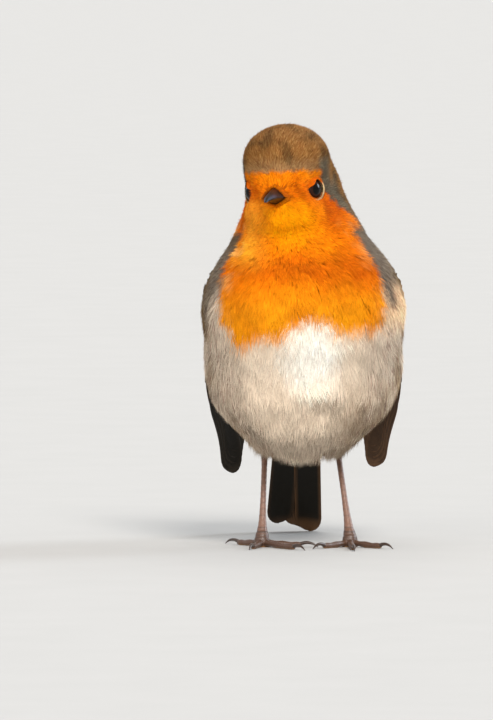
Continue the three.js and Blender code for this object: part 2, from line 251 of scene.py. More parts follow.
floor_finish = Finish("studio_floor", {"Roughness": 0.9, "Specular IOR Level": 0.1})
floor_grain = floor_finish.noise(40)
floor_tone = floor_finish.mixed(floor_grain, paint(*FLOOR_COLOUR), paint(*FLOOR_SHADE))
floor_finish.feed("Base Color", floor_tone)
corners = np.array([[-1, -1, 0], [1, -1, 0], [1, 1, 0], [-1, 1, 0]]) * FLOOR_REACH - SHIFT * [0, 0, 1]
make_piece("floor", corners, np.array([[0, 1, 2], [0, 2, 3]]), floor_finish)


def towards(azimuth, elevation):
    """The direction out from the bird. Azimuth 0 is straight ahead of it and 90 its left, +X."""
    a, e = math.radians(azimuth), math.radians(elevation)
    return Vector((math.sin(a) * math.cos(e), -math.cos(a) * math.cos(e), math.sin(e)))


for name, (azimuth, elevation, spread, strength, tint) in LAMPS.items():
    lamp = bpy.data.objects.new(name, bpy.data.lights.new(name, "SUN"))
    lamp.data.angle = math.radians(spread)
    lamp.data.energy = strength
    lamp.data.color = tint
    lamp.rotation_euler = towards(azimuth, elevation).to_track_quat("Z", "Y").to_euler()
    bpy.context.scene.collection.objects.link(lamp)

sky = bpy.data.worlds.new("studio_air")
sky.use_nodes = True
sky.node_tree.nodes["Background"].inputs["Color"].default_value = (*SKY_COLOUR, 1)
sky.node_tree.nodes["Background"].inputs["Strength"].default_value = SKY_STRENGTH
bpy.context.scene.world = sky
bpy.context.scene.view_settings.view_transform = "Standard"

camera = bpy.data.objects.new("camera", bpy.data.cameras.new("camera"))
camera.data.sensor_width = SENSOR
camera.data.lens = SENSOR * CAMERA_DISTANCE / FRAME_HEIGHT
camera.data.clip_end = 100
back = towards(0, CAMERA_ELEVATION)
camera.location = Vector(metres(CAMERA_AIM)) + back * CAMERA_DISTANCE * MM
camera.rotation_euler = back.to_track_quat("Z", "Y").to_euler()
bpy.context.scene.collection.objects.link(camera)
bpy.context.scene.camera = camera

# ---------------------------------------------------------------- skin of head, body and thighs
# The body's own form under the feathers, from the face down to the thighs in one piece. It lies inside
# the plumage by the coat's depth, and carries the plumage's colours, as feather bases do.
MELT = 1.9  # how softly neighbouring ellipsoids flow together
HEAD_BLOBS = [  # middle, half sizes, lean about +X in degrees; in the head's frame
    ((0, 2.0, 8.4), (10.8, 10.5, 8.6), 0),  # raised crown
    ((0, 1.4, 1.6), (9.8, 10.3, 8.6), 0),  # brain case
    ((0, -6.2, -0.6), (5.4, 4.6, 4.2), 0),  # forehead down to the bill
    ((4.6, -1.2, -4.6), (4.8, 6.8, 4.8), 0),  # left cheek
    ((-4.6, -1.2, -4.6), (4.8, 6.8, 4.8), 0),  # right cheek
    ((0, -4.6, -5.6), (4.6, 5.2, 3.8), 0),  # chin
]
BODY_BLOBS = [
    ((-1.0, -0.6, 90), (10.8, 9.4, 13.5), 0),  # nape
    ((-1.0, -3.0, 77), (16.6, 16.2, 16.5), 14),  # neck and throat
    ((0, -3.0, 62.5), (25.7, 22.6, 21.5), 0),  # breast
    ((0, 2.0, 47), (25.0, 24.2, 24.0), 0),  # belly
    ((0, 8.5, 68), (17.5, 13, 14), 30),  # shoulders
    ((0, 16.5, 53), (19, 17.5, 21), 38),  # back
    ((0, 27, 40), (11.5, 15.5, 10.5), -40),  # rump
    ((-0.6, 24, 34), (11, 18.5, 9.3), -37),  # vent and undertail
    ((8.7, 9.5, 34), (5.2, 5.2, 8.5), 21),  # left thigh
    ((8.9, 11.9, 27.6), (1.5, 1.5, 4.6), 21),  # left thigh's end
    ((-9.5, 9.5, 33.5), (5.4, 5.4, 8.8), 21),  # right thigh
    ((-9.8, 12.1, 26.8), (1.5, 1.5, 4.6), 21),  # right thigh's end
]
ORBIT_DEPTH = 1.6
ORBIT_REACH = 3.4


def ellipsoid_distance(points, middle, radii, lean):
    """About how far points lie outside an ellipsoid: its scaled radius less 1, over its slope."""
    x, dy, dz = np.moveaxis(points - np.array(middle), -1, 0)
    cos, sin = math.cos(math.radians(lean)), math.sin(math.radians(lean))
    y, z = cos * dy + sin * dz, cos * dz - sin * dy
    rx, ry, rz = radii
    near = np.sqrt((x / rx) ** 2 + (y / ry) ** 2 + (z / rz) ** 2)
    steep = np.sqrt((x / rx**2) ** 2 + (y / ry**2) ** 2 + (z / rz**2) ** 2)
    return near * (near - 1) / np.maximum(steep, 1e-9)


def to_eye(local):
    """Distance to the nearer eye's opening, for points of the head's frame."""
    both = [np.linalg.norm(local - EYE_OPENING * way, axis=-1) for way in (1, MIRROR)]
    return np.minimum(*both)


def plumage_distance(points):
    """Distance outside the plumage: a soft minimum over the ellipsoids, hollowed round the eyes."""
    local = into_head(points)
    total = sum(np.exp(-ellipsoid_distance(local, *blob) / MELT) for blob in HEAD_BLOBS)
    total = total + sum(np.exp(-ellipsoid_distance(points, *blob) / MELT) for blob in BODY_BLOBS)
    return ORBIT_DEPTH * np.exp(-((to_eye(local) / ORBIT_REACH) ** 2)) - MELT * np.log(total)


def fade(x, start, end):
    """0 up to start, 1 past end, with a smooth S between."""
    t = np.clip((x - start) / (end - start), 0, 1)
    return t * t * (3 - 2 * t)


def mix(a, b, share):
    """From a to b by a share of 0 to 1. A share for each point mixes rows of numbers."""
    a, b, share = np.asarray(a, float), np.asarray(b, float), np.asarray(share, float)
    if share.ndim and max(a.ndim, b.ndim) and (a.shape or b.shape)[-1:] == (3,):
        share = share[..., None]
    return a + (b - a) * share


def unit(vectors):
    """Vectors scaled to a length of one."""
    return vectors / np.maximum(np.linalg.norm(vectors, axis=-1, keepdims=True), 1e-9)


def headness(points):
    """1 on the head, 0 on the body, with the neck between."""
    return fade(np.linalg.norm(points - HEAD_AT, axis=-1), 24, 13)


def coat_depth(points):
    """How far the skin lies under the plumage: deep on the body, shallow on the face and thighs."""
    local = into_head(points)
    depth = mix(1.9, 1.0, headness(points))
    depth = mix(depth, 0.55, headness(points) * fade(local[..., 1], 2, -6))
    depth = mix(depth, 0.3, fade(to_eye(local), 6, 3))
    return mix(depth, 1.1, fade(points[..., 2], 31, 26) * fade(points[..., 1], 18, 14))


# Rays from an axis down through the bird: they fan out over the crown, run level down the neck and
# breast, and fan out again under the belly. Their two counters are also the skin's unwrap.
AXIS_TOP = np.array([-4.5, -8, 96.0])
AXIS_FOOT = np.array([0, 10, 45.0])
CROWN_SHARE = 0.3
BELLY_SHARE = 0.36
FARTHEST = 60
TAILWARD = 0.25  # how much closer the rays stand towards the tail
HALVINGS = 24


def skin_points(u, v):
    """Where the ray at u, from crown to vent, and v, round the body, meets the skin, by halving."""
    polar = np.where(u < CROWN_SHARE, u / CROWN_SHARE, 1)
    polar = np.where(u > 1 - BELLY_SHARE, 2 - (1 - u) / BELLY_SHARE, polar) * math.pi / 2
    down = np.clip((u - CROWN_SHARE) / (1 - CROWN_SHARE - BELLY_SHARE), 0, 1)
    start = AXIS_TOP + (AXIS_FOOT - AXIS_TOP) * down[..., None]
    around = 2 * math.pi * v + TAILWARD * np.cos(2 * math.pi * v)
    level = np.sin(polar)
    aim = np.stack([level * np.cos(around), level * np.sin(around), np.cos(polar)], -1)
    near, far = np.zeros(u.shape), np.full(u.shape, float(FARTHEST))
    for _ in range(HALVINGS):
        half = (near + far) / 2
        at = start + aim * half[..., None]
        inside = plumage_distance(at) + coat_depth(at) < 0
        near, far = np.where(inside, half, near), np.where(inside, far, half)
    return start + aim * near[..., None]


PROBE = 0.05


def slope(points):
    """The way that the distance from the plumage grows fastest, and how fast."""
    here = plumage_distance(points)
    steps = [plumage_distance(points + step) - here for step in np.eye(3) * PROBE]
    return np.stack(steps, -1) / PROBE, here


def settle(points, level, rounds=2):
    """Moves points along the slope until they lie at the level, in mm out from the plumage."""
    for _ in range(rounds):
        rise, here = slope(points)
        points = points + rise * ((level - here) / (rise**2).sum(-1))[..., None]
    return points


def mottle(points, size, seed=0):
    """A smooth uneven pattern of -1 to 1: three sine waves that bend one another."""
    x, y, z = np.moveaxis(points / size + seed * 7.3, -1, 0)
    first = np.sin(2.1 * x + 1.7 * np.sin(1.3 * y + z))
    second = np.sin(2.3 * y + 1.9 * np.sin(1.1 * z + x))
    third = np.sin(1.9 * z + 1.5 * np.sin(1.7 * x + y))
    return (first + second + third) / 3


# The markings: an orange face and bib, edged blue-grey along the sides, olive-brown above, a white
# belly and buff flanks.
# Painted light and shade are mixed into these colours where marked below.
BROW = 4.6  # top of the orange on the forehead, in the head's frame
CHEEK_HEIGHTS = (-12, -8, -4, -2, 0, 2, 5)
CHEEK_REAR = (9.0, 6.5, 3.0, 0.6, -0.9, -2.3, -2.8)  # how far back the orange goes there
BIB_HEIGHTS = (50, 54.6, 59, 63.6, 73, 80, 88)
BIB_ANGLES = (44, 47, 55, 57, 66, 70, 74)  # degrees from straight ahead, at those heights
HEM_X = (-20, -15, -10.6, -7.3, -3.5, -0.9, 1.2, 5.5, 9.4, 13.2, 17.1, 21)
HEM_Z = (54, 53.1, 55.7, 54.9, 57.0, 59.0, 60.1, 59.0, 56.2, 57.0, 57.0, 60.1)  # foot of the bib
BIB_ORANGE = paint(240, 125, 5)
BIB_HEM = paint(230, 140, 15)  # yellower, where the feathers thin out over the white
BIB_SHADE = paint(210, 100, 5)  # painted shade, in the fold between throat and breast, and close under the face
HEM_HEIGHTS = (60, 76)  # over which the hem's tone gives way to the bib's
FOLD_SHADE_HEIGHT = 72.5
FOLD_SHADE_REACH = 4.0
CHIN_SHADE_HEIGHTS = (87, 92)
PEACH = paint(246, 176, 98)
# A brighter, yellower orange: painted light where the throat catches the most.
THROAT_LIGHT = paint(255, 152, 3)
# Paler on the throat's right side: painted light that lifts that shaded side, over its own pale peach
# fringe.
THROAT_SIDE_LIT = paint(255, 160, 40)
FOREHEAD = paint(216, 110, 3)
LORE = paint(198, 90, 3)
EAR = paint(198, 86, 2)
CROWN = paint(124, 83, 42)
CROWN_DARK = paint(64, 44, 22)
CROWN_FRONT = paint(138, 104, 68)
MANTLE = paint(100, 76, 48)
BAND = paint(108, 96, 84)
HEAD_GREY = paint(87, 78, 64)
BELLY_WHITE = paint(252, 246, 232)
BELLY_CREAM = paint(226, 206, 182)
FLANK_BUFF = paint(208, 188, 166)
FLANK_BROWN = paint(122, 98, 72)
FLANK_PINK = paint(252, 206, 160)


def bib_inside(points):
    """How many mm a point lies inside the orange, negative outside."""
    local = into_head(points)
    x, y, z = np.moveaxis(points, -1, 0)
    ragged = 0.9 * mottle(points, 1.1, 3)
    rear = np.interp(local[..., 2], CHEEK_HEIGHTS, CHEEK_REAR)
    face = np.minimum(BROW - local[..., 2] + 0.5 * ragged, rear - local[..., 1] + 0.5 * ragged)
    face = np.minimum(face, local[..., 2] + 11)
    middle_x = np.interp(z, (60, 90), (-0.5, -4.0))
    middle_y = np.interp(z, (50, 90), (0, -8))
    angle = np.degrees(np.arctan2(np.abs(x - middle_x), middle_y - y))
    across = np.hypot(x - middle_x, y - middle_y)
    side = np.radians(np.interp(z, BIB_HEIGHTS, BIB_ANGLES) - angle) * across
    hem = z - np.interp(x, HEM_X, HEM_Z)
    breast = np.minimum(np.minimum(side, hem) + ragged, 90 - z)
    return np.maximum(face, breast)


def marking(points):
    """The plumage's colour at each point, in linear numbers, with painted light and shade mixed in."""
    local = into_head(points)
    x, y, z = np.moveaxis(points, -1, 0)
    head = headness(points)
    patchy = mottle(points, 3.2)
    fine = mottle(points, 1.3, 1)

    orange = mix(BIB_HEM, BIB_ORANGE, fade(z, *HEM_HEIGHTS))
    # A deeper orange is painted as shade in the fold under the throat and close under the face.
    fold = np.exp(-(((z - FOLD_SHADE_HEIGHT) / FOLD_SHADE_REACH) ** 2))
    orange = mix(orange, BIB_SHADE, np.maximum(fold, fade(z, *CHIN_SHADE_HEIGHTS)))
    # A round pool of painted light, brighter and yellower, on the middle of the throat.
    orange = mix(orange, THROAT_LIGHT, fade(np.hypot(x + 4, z - 83.5), 9, 2))
    # The throat's right side is painted paler, as light lifting its shade, over its own pale fringe.
    lit_side = fade(x + 4, -3, -10) * fade(z, 70, 77) * fade(z, 93, 88)
    orange = mix(orange, THROAT_SIDE_LIT, 0.8 * lit_side)
    orange = mix(orange, FOREHEAD, head * fade(local[..., 2], -1, 2))
    sideways = fade(np.abs(local[..., 0]), 2.5, 5)
    orange = mix(orange, LORE, 0.8 * head * sideways * fade(np.abs(local[..., 2] - 0.2), 3.0, 1.2))
    orange = mix(orange, EAR, head * fade(local[..., 1], -5.5, -1.5) * fade(local[..., 2], -0.5, -3))
    cloudy = mottle(points, 5.5, 4)
    orange = orange * (1 + [0.07, 0.16, 0.1] * (cloudy + 0.5 * patchy + 0.4 * fine)[..., None])
    inside = bib_inside(points)
    fringe = fade(inside, 5, 1) * fade(z, 64, 70) * fade(z, 87, 81) * fade(fine + patchy, -0.2, 0.6)
    orange = mix(orange, PEACH, fringe * mix(0.25, 0.65, fade(x, 2, -6)))

    upper = mix(MANTLE, CROWN, head)
    spots = mottle(points * [1, 0.45, 0.45], 1.6, 7)
    upper = mix(upper, CROWN_DARK, head * fade(0.5 * fine + 0.7 * patchy + spots, -0.1, 1.0) * 0.7)
    forward = head * fade(local[..., 2], 9, 5) * fade(local[..., 1], -1, -5)
    upper = mix(upper, CROWN_FRONT, forward * 0.8)

    above = mix(upper, BAND, fade(inside, -14, -5) * fade(z, 56, 60) * (1 - head))
    temple = head * fade(local[..., 2], 9, 6) * fade(local[..., 1], -4, -2.5)
    above = mix(above, HEAD_GREY, temple * fade(inside, -7, -2))

    middle = np.hypot(x - 1.5, (z - 52) * 0.8)
    below = mix(BELLY_WHITE, BELLY_CREAM, fade(middle + 2 * patchy, 1, 11))
    angle = np.degrees(np.arctan2(np.abs(x), 2 - y))
    below = mix(below, FLANK_BUFF, fade(angle, 34, 60))
    streaks = fade(mottle(points * [1, 1, 0.4], 1.7, 5) + 0.6 * patchy, -0.5, 0.6)
    below = mix(below, FLANK_BROWN, fade(angle, 52, 80) * streaks)
    # Painted shade over the lower left flank, in that flank's own brown.
    low_flank_shade = fade(z, 49, 34) * fade(x, 4, 14) * fade(patchy + fine, -1.4, 0.4)
    below = mix(below, FLANK_BROWN, 0.75 * low_flank_shade)
    shadowy = fade(mottle(points * [1, 1, 0.35], 1.2, 8) + 0.5 * patchy, 0.1, 0.8)
    below = mix(below, FLANK_BROWN, 0.7 * fade(z, 46, 34) * fade(np.abs(x), 6, 11) * shadowy)
    # Low on the belly, streaks of painted shade in the gaps where its feathers part.
    parted_gap_shade = fade(mottle(points * [1, 1, 0.3], 1.0, 9) + 0.4 * fine, 0.15, 0.8)
    below = mix(below, FLANK_BROWN, 0.45 * fade(z, 46, 32) * parted_gap_shade)
    below = mix(below, FLANK_PINK, fade(np.hypot(x - 22, z - 66), 10, 3) * fade(x, 10, 16))
    # Darker cream under the rear of the belly: painted shade under the body.
    below = mix(below, BELLY_CREAM * 0.8, fade(y, 12, 26) * fade(z, 40, 30))

    low = fade(z + 0.9 * y, 78, 66) * fade(z, 72, 66)
    lower = z + 9 * fade(angle, 52, 66) * fade(x, 4, -4) + 2 * patchy
    lower = lower + 4 * mottle(points * [1, 1, 0.4], 1.9, 6)
    in_front = fade(angle, 95, 70) * fade(lower, 68, 59)
    rest = mix(above, below, np.maximum(low * fade(lower, 71, 61), in_front))
    ear = head * fade(local[..., 1], -4, -2) * fade(local[..., 2], 2.5, 0.5)
    hem = fade(z, 66, 60) * fade(angle, 50, 35)
    share = mix(fade(inside, -0.5, 0.5), fade(inside, -1.5, 2.6), hem)
    share = mix(share, fade(inside + 1.4 * mottle(points, 0.7, 9), 0.3, 1.5), ear)
    # A dark line painted as shade in the crease from the gape back below the eye.
    along_gape = np.clip((local[..., 1] + 10.4) / 5, 0, 1)
    gape_x, gape_z = 2.8 + 4.0 * along_gape, -1.5 - 2.0 * along_gape
    away = np.hypot(np.abs(local[..., 0]) - gape_x, local[..., 2] - gape_z)
    crease_shade = head * np.exp(-((away / 0.5) ** 2)) * fade(local[..., 1], -4.6, -9)
    return np.clip(mix(mix(rest, orange, share), CROWN_DARK * 0.4, 0.8 * crease_shade), 0, 1)


def grid_faces(rows, columns, closed):
    """Triangles of a grid of points. Closed joins the last column to the first."""
    i, j = np.meshgrid(np.arange(rows - 1), np.arange(columns if closed else columns - 1), indexing="ij")
    k = (j + 1) % columns
    a, b, c, d = i * columns + j, i * columns + k, (i + 1) * columns + k, (i + 1) * columns + j
    return np.stack([a, b, c, a, c, d], -1).reshape(-1, 3)


def shell(rings):
    """Points and triangles of a closed surface: rings of points joined in turn, each end closed by a
    fan to the ring's middle. Any channels after the three of place are carried along.
    """
    rows, sides, width = rings.shape
    ends = np.stack([rings[0].mean(0), rings[-1].mean(0)])
    points = np.concatenate([rings.reshape(-1, width), ends])
    j = np.arange(sides)
    k = (j + 1) % sides
    first = np.full(sides, rows * sides)
    root = np.stack([first, k, j], -1)
    tip = np.stack([first + 1, j + (rows - 1) * sides, k + (rows - 1) * sides], -1)
    faces = np.concatenate([grid_faces(rows, sides, True), root, tip])
    return points, outward(points, faces)


def joined(shells):
    """One list of points and one of triangles from many shells."""
    starts = np.cumsum([0] + [len(points) for points, _ in shells[:-1]])
    points = np.concatenate([points for points, _ in shells])
    return points, np.concatenate([faces + start for (_, faces), start in zip(shells, starts)])


SKIN_RINGS = 190
SKIN_SIDES = 170
ring_u = (np.arange(SKIN_RINGS) + 0.5) / SKIN_RINGS
side_v = np.arange(SKIN_SIDES) / SKIN_SIDES
skin_u, skin_v = np.meshgrid(ring_u, side_v, indexing="ij")
skin_grid = skin_points(skin_u, skin_v)
skin_rings = np.concatenate([skin_grid, 0.75 * marking(skin_grid)], -1)
skin_finish = Finish("skin_down", {"Roughness": 0.9, "Specular IOR Level": 0.1})
skin_tone = skin_finish.node("ShaderNodeAttribute", {"attribute_name": "plumage"}, {}, "Color")
skin_grain = skin_finish.noise(2500)
skin_finish.feed("Base Color", skin_finish.mixed(skin_grain, skin_tone, (0.35, 0.30, 0.26), "MULTIPLY"))
skin_finish.bump(skin_grain, 0.15)
skin = make_piece("skin", *shell(skin_rings), skin_finish, ["plumage"])
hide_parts("head", "neck", "trunk", "thigh_left", "thigh_right")
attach(skin, "root")

# ---------------------------------------------------------------- coat of small feathers
# Each small feather is a tuft of loose barbs that spring from one root and lie along the body. On the
# face they run back from the bill, down the breast towards the vent, and over the back to the tail.
FLOW_SOURCE = (0, -11, -1)  # in the head's frame, just ahead of the face
FLOW_VENT = np.array([0, 12, 8.0])
FLOW_RISE = np.array([0, 0, 13.0])  # nearer to the vent, where they close in from both sides
FLOW_TAIL = np.array([-1.5, 55, 22.0])
TUFTS = 28000
BARBS = 8
PATCH = 0.003  # of the unwrap that one tuft takes
CLUMPS = 900  # larger feathers, of which each tuft is a part
GAP_SHADE_SHARE = 0.14  # of the barbs, which are painted dark as the shade in gaps that part the others
PALE_SHARE = 0.14
GAP_SHADE_DEPTH = np.array([0.46, 0.62, 0.60])  # of each colour, taken from those barbs as painted shade
PALE_LIFT = np.array([0.30, 0.27, 0.20])  # and how far the pale ones are lifted
GAP_TINT = np.array([0.82, 1.1, 1.1])
BARB_TONES = (-0.6, -0.08, 0.12)  # how much lighter each barb's root, middle and tip are
STRAY_SHARE = 0.07  # of the barbs, whose tips stand clear of the others
STRAY_RISE = 0.5
EYE_CLEAR = 3.0  # from the middle of each eye's opening
FLANK_PUFF = 0.8  # how far the flanks' feathers stand out ahead of the wings
GOLDEN = (math.sqrt(5) - 1) / 2
chance = np.random.default_rng(5)


def ruffle(points):
    """How far the coat stands over the plumage's form, in mm: the belly is drawn up round the legs."""
    x, y, z = np.moveaxis(points, -1, 0)
    bottom = fade(z, 31, 24) * fade(y, 24, 16)
    flank = fade(np.abs(x), 13, 20) * fade(y, 7, -1) * fade(z, 36, 44) * fade(z, 72, 64)
    return FLANK_PUFF * flank - bottom * (0.9 + 1.0 * fade(np.abs(x), 4, 11))


def lie(points, normal):
    """The way the feathers lie: away from the bill on the head, to the vent in front, to the tail
    behind, all flattened onto the surface."""
    from_bill = unit(points - from_head(FLOW_SOURCE))
    behind = fade(points[..., 1], -2, 16)
    vent = FLOW_VENT + fade(points[..., 2], 48, 30)[..., None] * FLOW_RISE
    body = mix(unit(vent - points), unit(FLOW_TAIL - points), behind)
    way = mix(body, from_bill, fade(np.linalg.norm(points - HEAD_AT, axis=-1), 34, 13))
    return unit(way - normal * (way * normal).sum(-1, keepdims=True))


def facing(points):
    """1 on the face in front of and round the eyes, 0 elsewhere."""
    local = into_head(points)
    return headness(points) * fade(local[..., 1], 3, -4) * fade(local[..., 2], 9, 5)


def feather_length(points):
    """Short on the face, medium on the crown and bib, long on the belly and flanks."""
    length = mix(4.4, 7.5, fade(points[..., 2], 66, 52))
    length = mix(length, 2.6, headness(points))
    length = mix(length, 1.7, facing(points))
    return mix(length, 2.6, fade(points[..., 2], 29, 25) * fade(points[..., 1], 18, 14) * fade(
        np.abs(points[..., 0]), 5, 8))


def contrast(points):
    """How strongly the barbs differ: little on the bib and the belly's middle, less on the throat than
    on the face, and most on the flanks and under the belly."""
    x, y, z = np.moveaxis(points, -1, 0)
    flank = 1.2 * fade(np.degrees(np.arctan2(np.abs(x), 2 - y)), 35, 65) * fade(z, 84, 74)
    low = fade(z, 35, 27) * (0.35 + 0.65 * fade(np.abs(x), 3, 10))
    throat = fade(y, -6, -12) * fade(z, 94, 90)
    return mix(mix(0.35, 1.15, np.maximum(flank, low)), mix(1.0, 0.7, throat), headness(points))


def tuft_roots(count):
    """Roots spread over the skin: small feathers stand closer. They are counted along the running
    total of area by the golden ratio, with a random place inside each cell."""
    u, v = np.meshgrid(ring_u, side_v + 0.5 / SKIN_SIDES, indexing="ij")
    along = np.roll(skin_grid, -1, 1) - skin_grid
    down = np.vstack([skin_grid[1:], skin_grid[-1:]]) - skin_grid
    area = np.linalg.norm(np.cross(along, down), axis=-1)
    weight = (area / feather_length(skin_grid) ** 1.2).ravel()
    total = np.cumsum(weight) / weight.sum()
    cell = np.searchsorted(total, (np.arange(count) * GOLDEN) % 1)
    u = u.ravel()[cell] + (chance.random(count) - 0.5) / SKIN_RINGS
    v = v.ravel()[cell] + (chance.random(count) - 0.5) / SKIN_SIDES
    return np.clip(u, 0.001, 0.999), v % 1


BARB_ROUND = 0.35  # how far a barb's sides are shaded as turned from the body's own surface
BARB_FACES = np.array([[0, 3, 1], [0, 2, 3], [0, 1, 2], [4, 1, 3], [4, 3, 2], [4, 2, 1]])


def barb_mesh(root, middle, tip, up, width, colours, uv):
    """Closed spindles: a root, three points round the middle and a tip. Colours are those of the
    root, middle and tip, and uv is each root's place on the unwrap."""
    count = len(root)
    across = unit(np.cross(up, tip - root)) * (width / 2)[:, None]
    ridge = up * (width * 0.4)[:, None]
    places = np.stack([root, middle + across, middle - across, middle + ridge, tip], 1)
    tones = np.stack([colours[0], colours[1], colours[1], colours[1], colours[2]], 1)
    spread = np.array([[0, -0.5], [-0.5, 0], [0.5, 0], [0, 0], [0, 0.5]]) * PATCH
    points = np.concatenate([places, tones, uv[:, None] + spread], -1).reshape(-1, 8)
    faces = BARB_FACES[None] + (np.arange(count) * 5)[:, None, None]
    lean = unit(across) * BARB_ROUND
    shading = unit(np.stack([up, up + lean, up - lean, up, up], 1)).reshape(-1, 3)
    return points, faces.reshape(-1, 3), shading


plumage_finish = Finish("plumage_barbs", {"Roughness": 0.8, "Specular IOR Level": 0.04})
barb_tone = plumage_finish.node("ShaderNodeAttribute", {"attribute_name": "plumage"}, {}, "Color")
barb_grain = plumage_finish.noise(4000, 2)
barb_shade = plumage_finish.mixed(barb_grain, (0.86, 0.86, 0.86), (1.1, 1.1, 1.1))
plumage_finish.feed("Base Color", plumage_finish.mixed(1.0, barb_tone, barb_shade, "MULTIPLY"))
plumage_finish.bump(barb_grain, 0.03)

root_u, root_v = tuft_roots(TUFTS)
roots = skin_points(root_u, root_v)
rise, _ = slope(roots)
root_up = unit(rise)
root_way = lie(roots, root_up)


def nearest(points, among):
    """For each point, the number of the nearest one among the others."""
    parts = np.array_split(points, 1 + len(points) // 100)
    return np.concatenate([np.linalg.norm(part[:, None] - among, axis=-1).argmin(1) for part in parts])


def unwrap_place(points):
    """The places on the skin's unwrap under the points: those of the nearest tufts' roots."""
    near = nearest(points, roots)
    return np.clip(np.stack([root_v[near], root_u[near]], -1), PATCH, 1 - PATCH)


# Each tuft belongs to the nearest of the larger feathers. Its place there, sideways and along, is a
# share of about -1 to 1 of that feather's size.
clump_at = roots[:CLUMPS]
clump = nearest(roots, clump_at)
offset = roots - clump_at[clump]
clump_size = 0.55 * feather_length(roots) ** 0.9
clump_side = np.clip((offset * np.cross(root_up, root_way)).sum(-1) / clump_size, -1, 1)
clump_along = np.clip((offset * root_way).sum(-1) / clump_size, -1, 1)
clump_tone = chance.standard_normal(CLUMPS)[clump]


def belongs(points, local):
    """Which coat piece each root goes to, by its place."""
    x, y, z = np.moveaxis(points, -1, 0)
    name = np.full(len(points), "coat_belly_left", dtype="U24")
    name[x < 0] = "coat_belly_right"
    name[(z > 52) & (x >= 0)] = "coat_breast_left"
    name[(z > 52) & (x < 0)] = "coat_breast_right"
    flank = (y > 2) & (z + 0.9 * y < 76)
    name[flank & (x >= 0)] = "coat_flank_left"
    name[flank & (x < 0)] = "coat_flank_right"
    back = (y > 2) & (z + 0.9 * y >= 76)
    name[back] = "coat_back"
    name[back & (y > 24)] = "coat_rump"
    name[(z > 74) & (y <= 2)] = "coat_throat"
    name[(headness(points) > 0.5) & (local[:, 1] > -1)] = "coat_nape"
    name[(headness(points) > 0.5) & (local[:, 2] > 4.5)] = "coat_crown"
    name[(headness(points) > 0.5) & (local[:, 2] <= 4.5) & (local[:, 1] <= -1)] = "coat_face"
    return name


def dress(name, chosen):
    """A coat piece: the barbs of the chosen tufts, fanned about the way they lie and settled onto
    levels between the skin and the plumage's outline."""
    count = chosen.sum()
    shape = (count, BARBS)
    at = np.repeat(roots[chosen], BARBS, 0)
    up = np.repeat(root_up[chosen], BARBS, 0)
    way = np.repeat(root_way[chosen], BARBS, 0)
    side = np.cross(up, way)
    place = np.linspace(-1, 1, BARBS)[None] + 0.25 * chance.standard_normal(shape)
    head = headness(roots[chosen])
    swirl = mix(0.15, 0.08, head) * mottle(roots[chosen], 7, 2) + 0.07 * chance.standard_normal(count)
    swirl = swirl + mix(0.42, 0.22, head) * clump_side[chosen]
    fan = (mix(0.13, 0.22, head)[:, None] * place + swirl[:, None]).ravel()
    length = feather_length(roots[chosen])[:, None] * (1.06 - 0.16 * place**2)
    length = (length * (1 + 0.12 * chance.standard_normal(shape))).ravel()
    depth = np.repeat(coat_depth(roots[chosen]), BARBS)
    width = np.clip(0.055 * length, 0.12, 0.17) * chance.uniform(0.7, 1.3, len(length))

    aim = way * np.cos(fan)[:, None] + side * np.sin(fan)[:, None]
    root = at - up * 0.15 + side * (0.06 * length * place.ravel())[:, None]
    layer = np.repeat(0.28 + 0.44 * chance.random(count) + 0.28 * clump_along[chosen], BARBS)
    loose = fade(at[:, 2], 34, 27) * fade(at[:, 1], 26, 16)
    drawn = ruffle(at)
    middle = settle(root + aim * (0.5 * length)[:, None], -depth * (0.55 - 0.15 * layer) + 0.8 * drawn)
    level = -depth * (0.34 - 0.36 * layer) + 0.08 * chance.standard_normal(len(depth)) + drawn
    level = level + (chance.random(len(depth)) < STRAY_SHARE) * chance.uniform(0.1, STRAY_RISE, len(depth))
    tip = settle(root + aim * length[:, None], level)
    hang = np.repeat(chance.uniform(0.1, 1, count) ** 2, BARBS)
    tip = tip + (up * 0.4 + [0, 0, -1.0]) * (loose * (0.5 + 2.2 * hang))[:, None]

    seen = roots[chosen] + root_way[chosen] * 0.45 * feather_length(roots[chosen])[:, None]
    tone = np.repeat(marking(seen), BARBS, 0)
    strong = contrast(at)
    shaggy = 1 + 1.2 * fade(roots[chosen][:, 2], 60, 42)
    # Each larger feather is painted darker towards its base, as shade where the one above overlaps it, and
    # lighter towards its rim, besides a random tone of its own.
    feather_tone = 0.07 * shaggy * clump_tone[chosen] + 0.10 * shaggy * clump_along[chosen]
    feather_tone = np.repeat(1 + feather_tone + 0.05 * chance.standard_normal(count), BARBS)
    barb_tone = 1 + 0.16 * strong * chance.standard_normal(len(tone))
    tone = tone * np.clip(feather_tone * barb_tone, 0.45, 1.5)[:, None]
    draw = chance.random(len(tone))
    # A share of the barbs is painted darker, as the shade in the gaps between them.
    tone = tone * (1 - GAP_SHADE_DEPTH * (strong * (draw < GAP_SHADE_SHARE))[:, None])
    tone = tone ** (1 - PALE_LIFT * (strong * (draw > 1 - PALE_SHARE))[:, None])
    tones = [np.clip(tone * (1 + deeper * strong[:, None] * GAP_TINT), 0, 1)
             for deeper in BARB_TONES]
    uv = np.stack([np.repeat(root_v[chosen], BARBS), np.repeat(root_u[chosen], BARBS)], -1)
    uv = np.clip(uv, PATCH, 1 - PATCH)

    clear_of_eye = np.minimum(to_eye(into_head(tip)), to_eye(into_head(middle))) > EYE_CLEAR
    keep = clear_of_eye & outside_bill(middle) & outside_bill(tip)
    points, faces, shading = barb_mesh(root[keep], middle[keep], tip[keep], up[keep], width[keep],
                                       [t[keep] for t in tones], uv[keep])
    piece = make_piece(name, points, faces, plumage_finish, ["plumage", "uv"], "OFBake", shading)
    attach(piece, "root")
    return piece


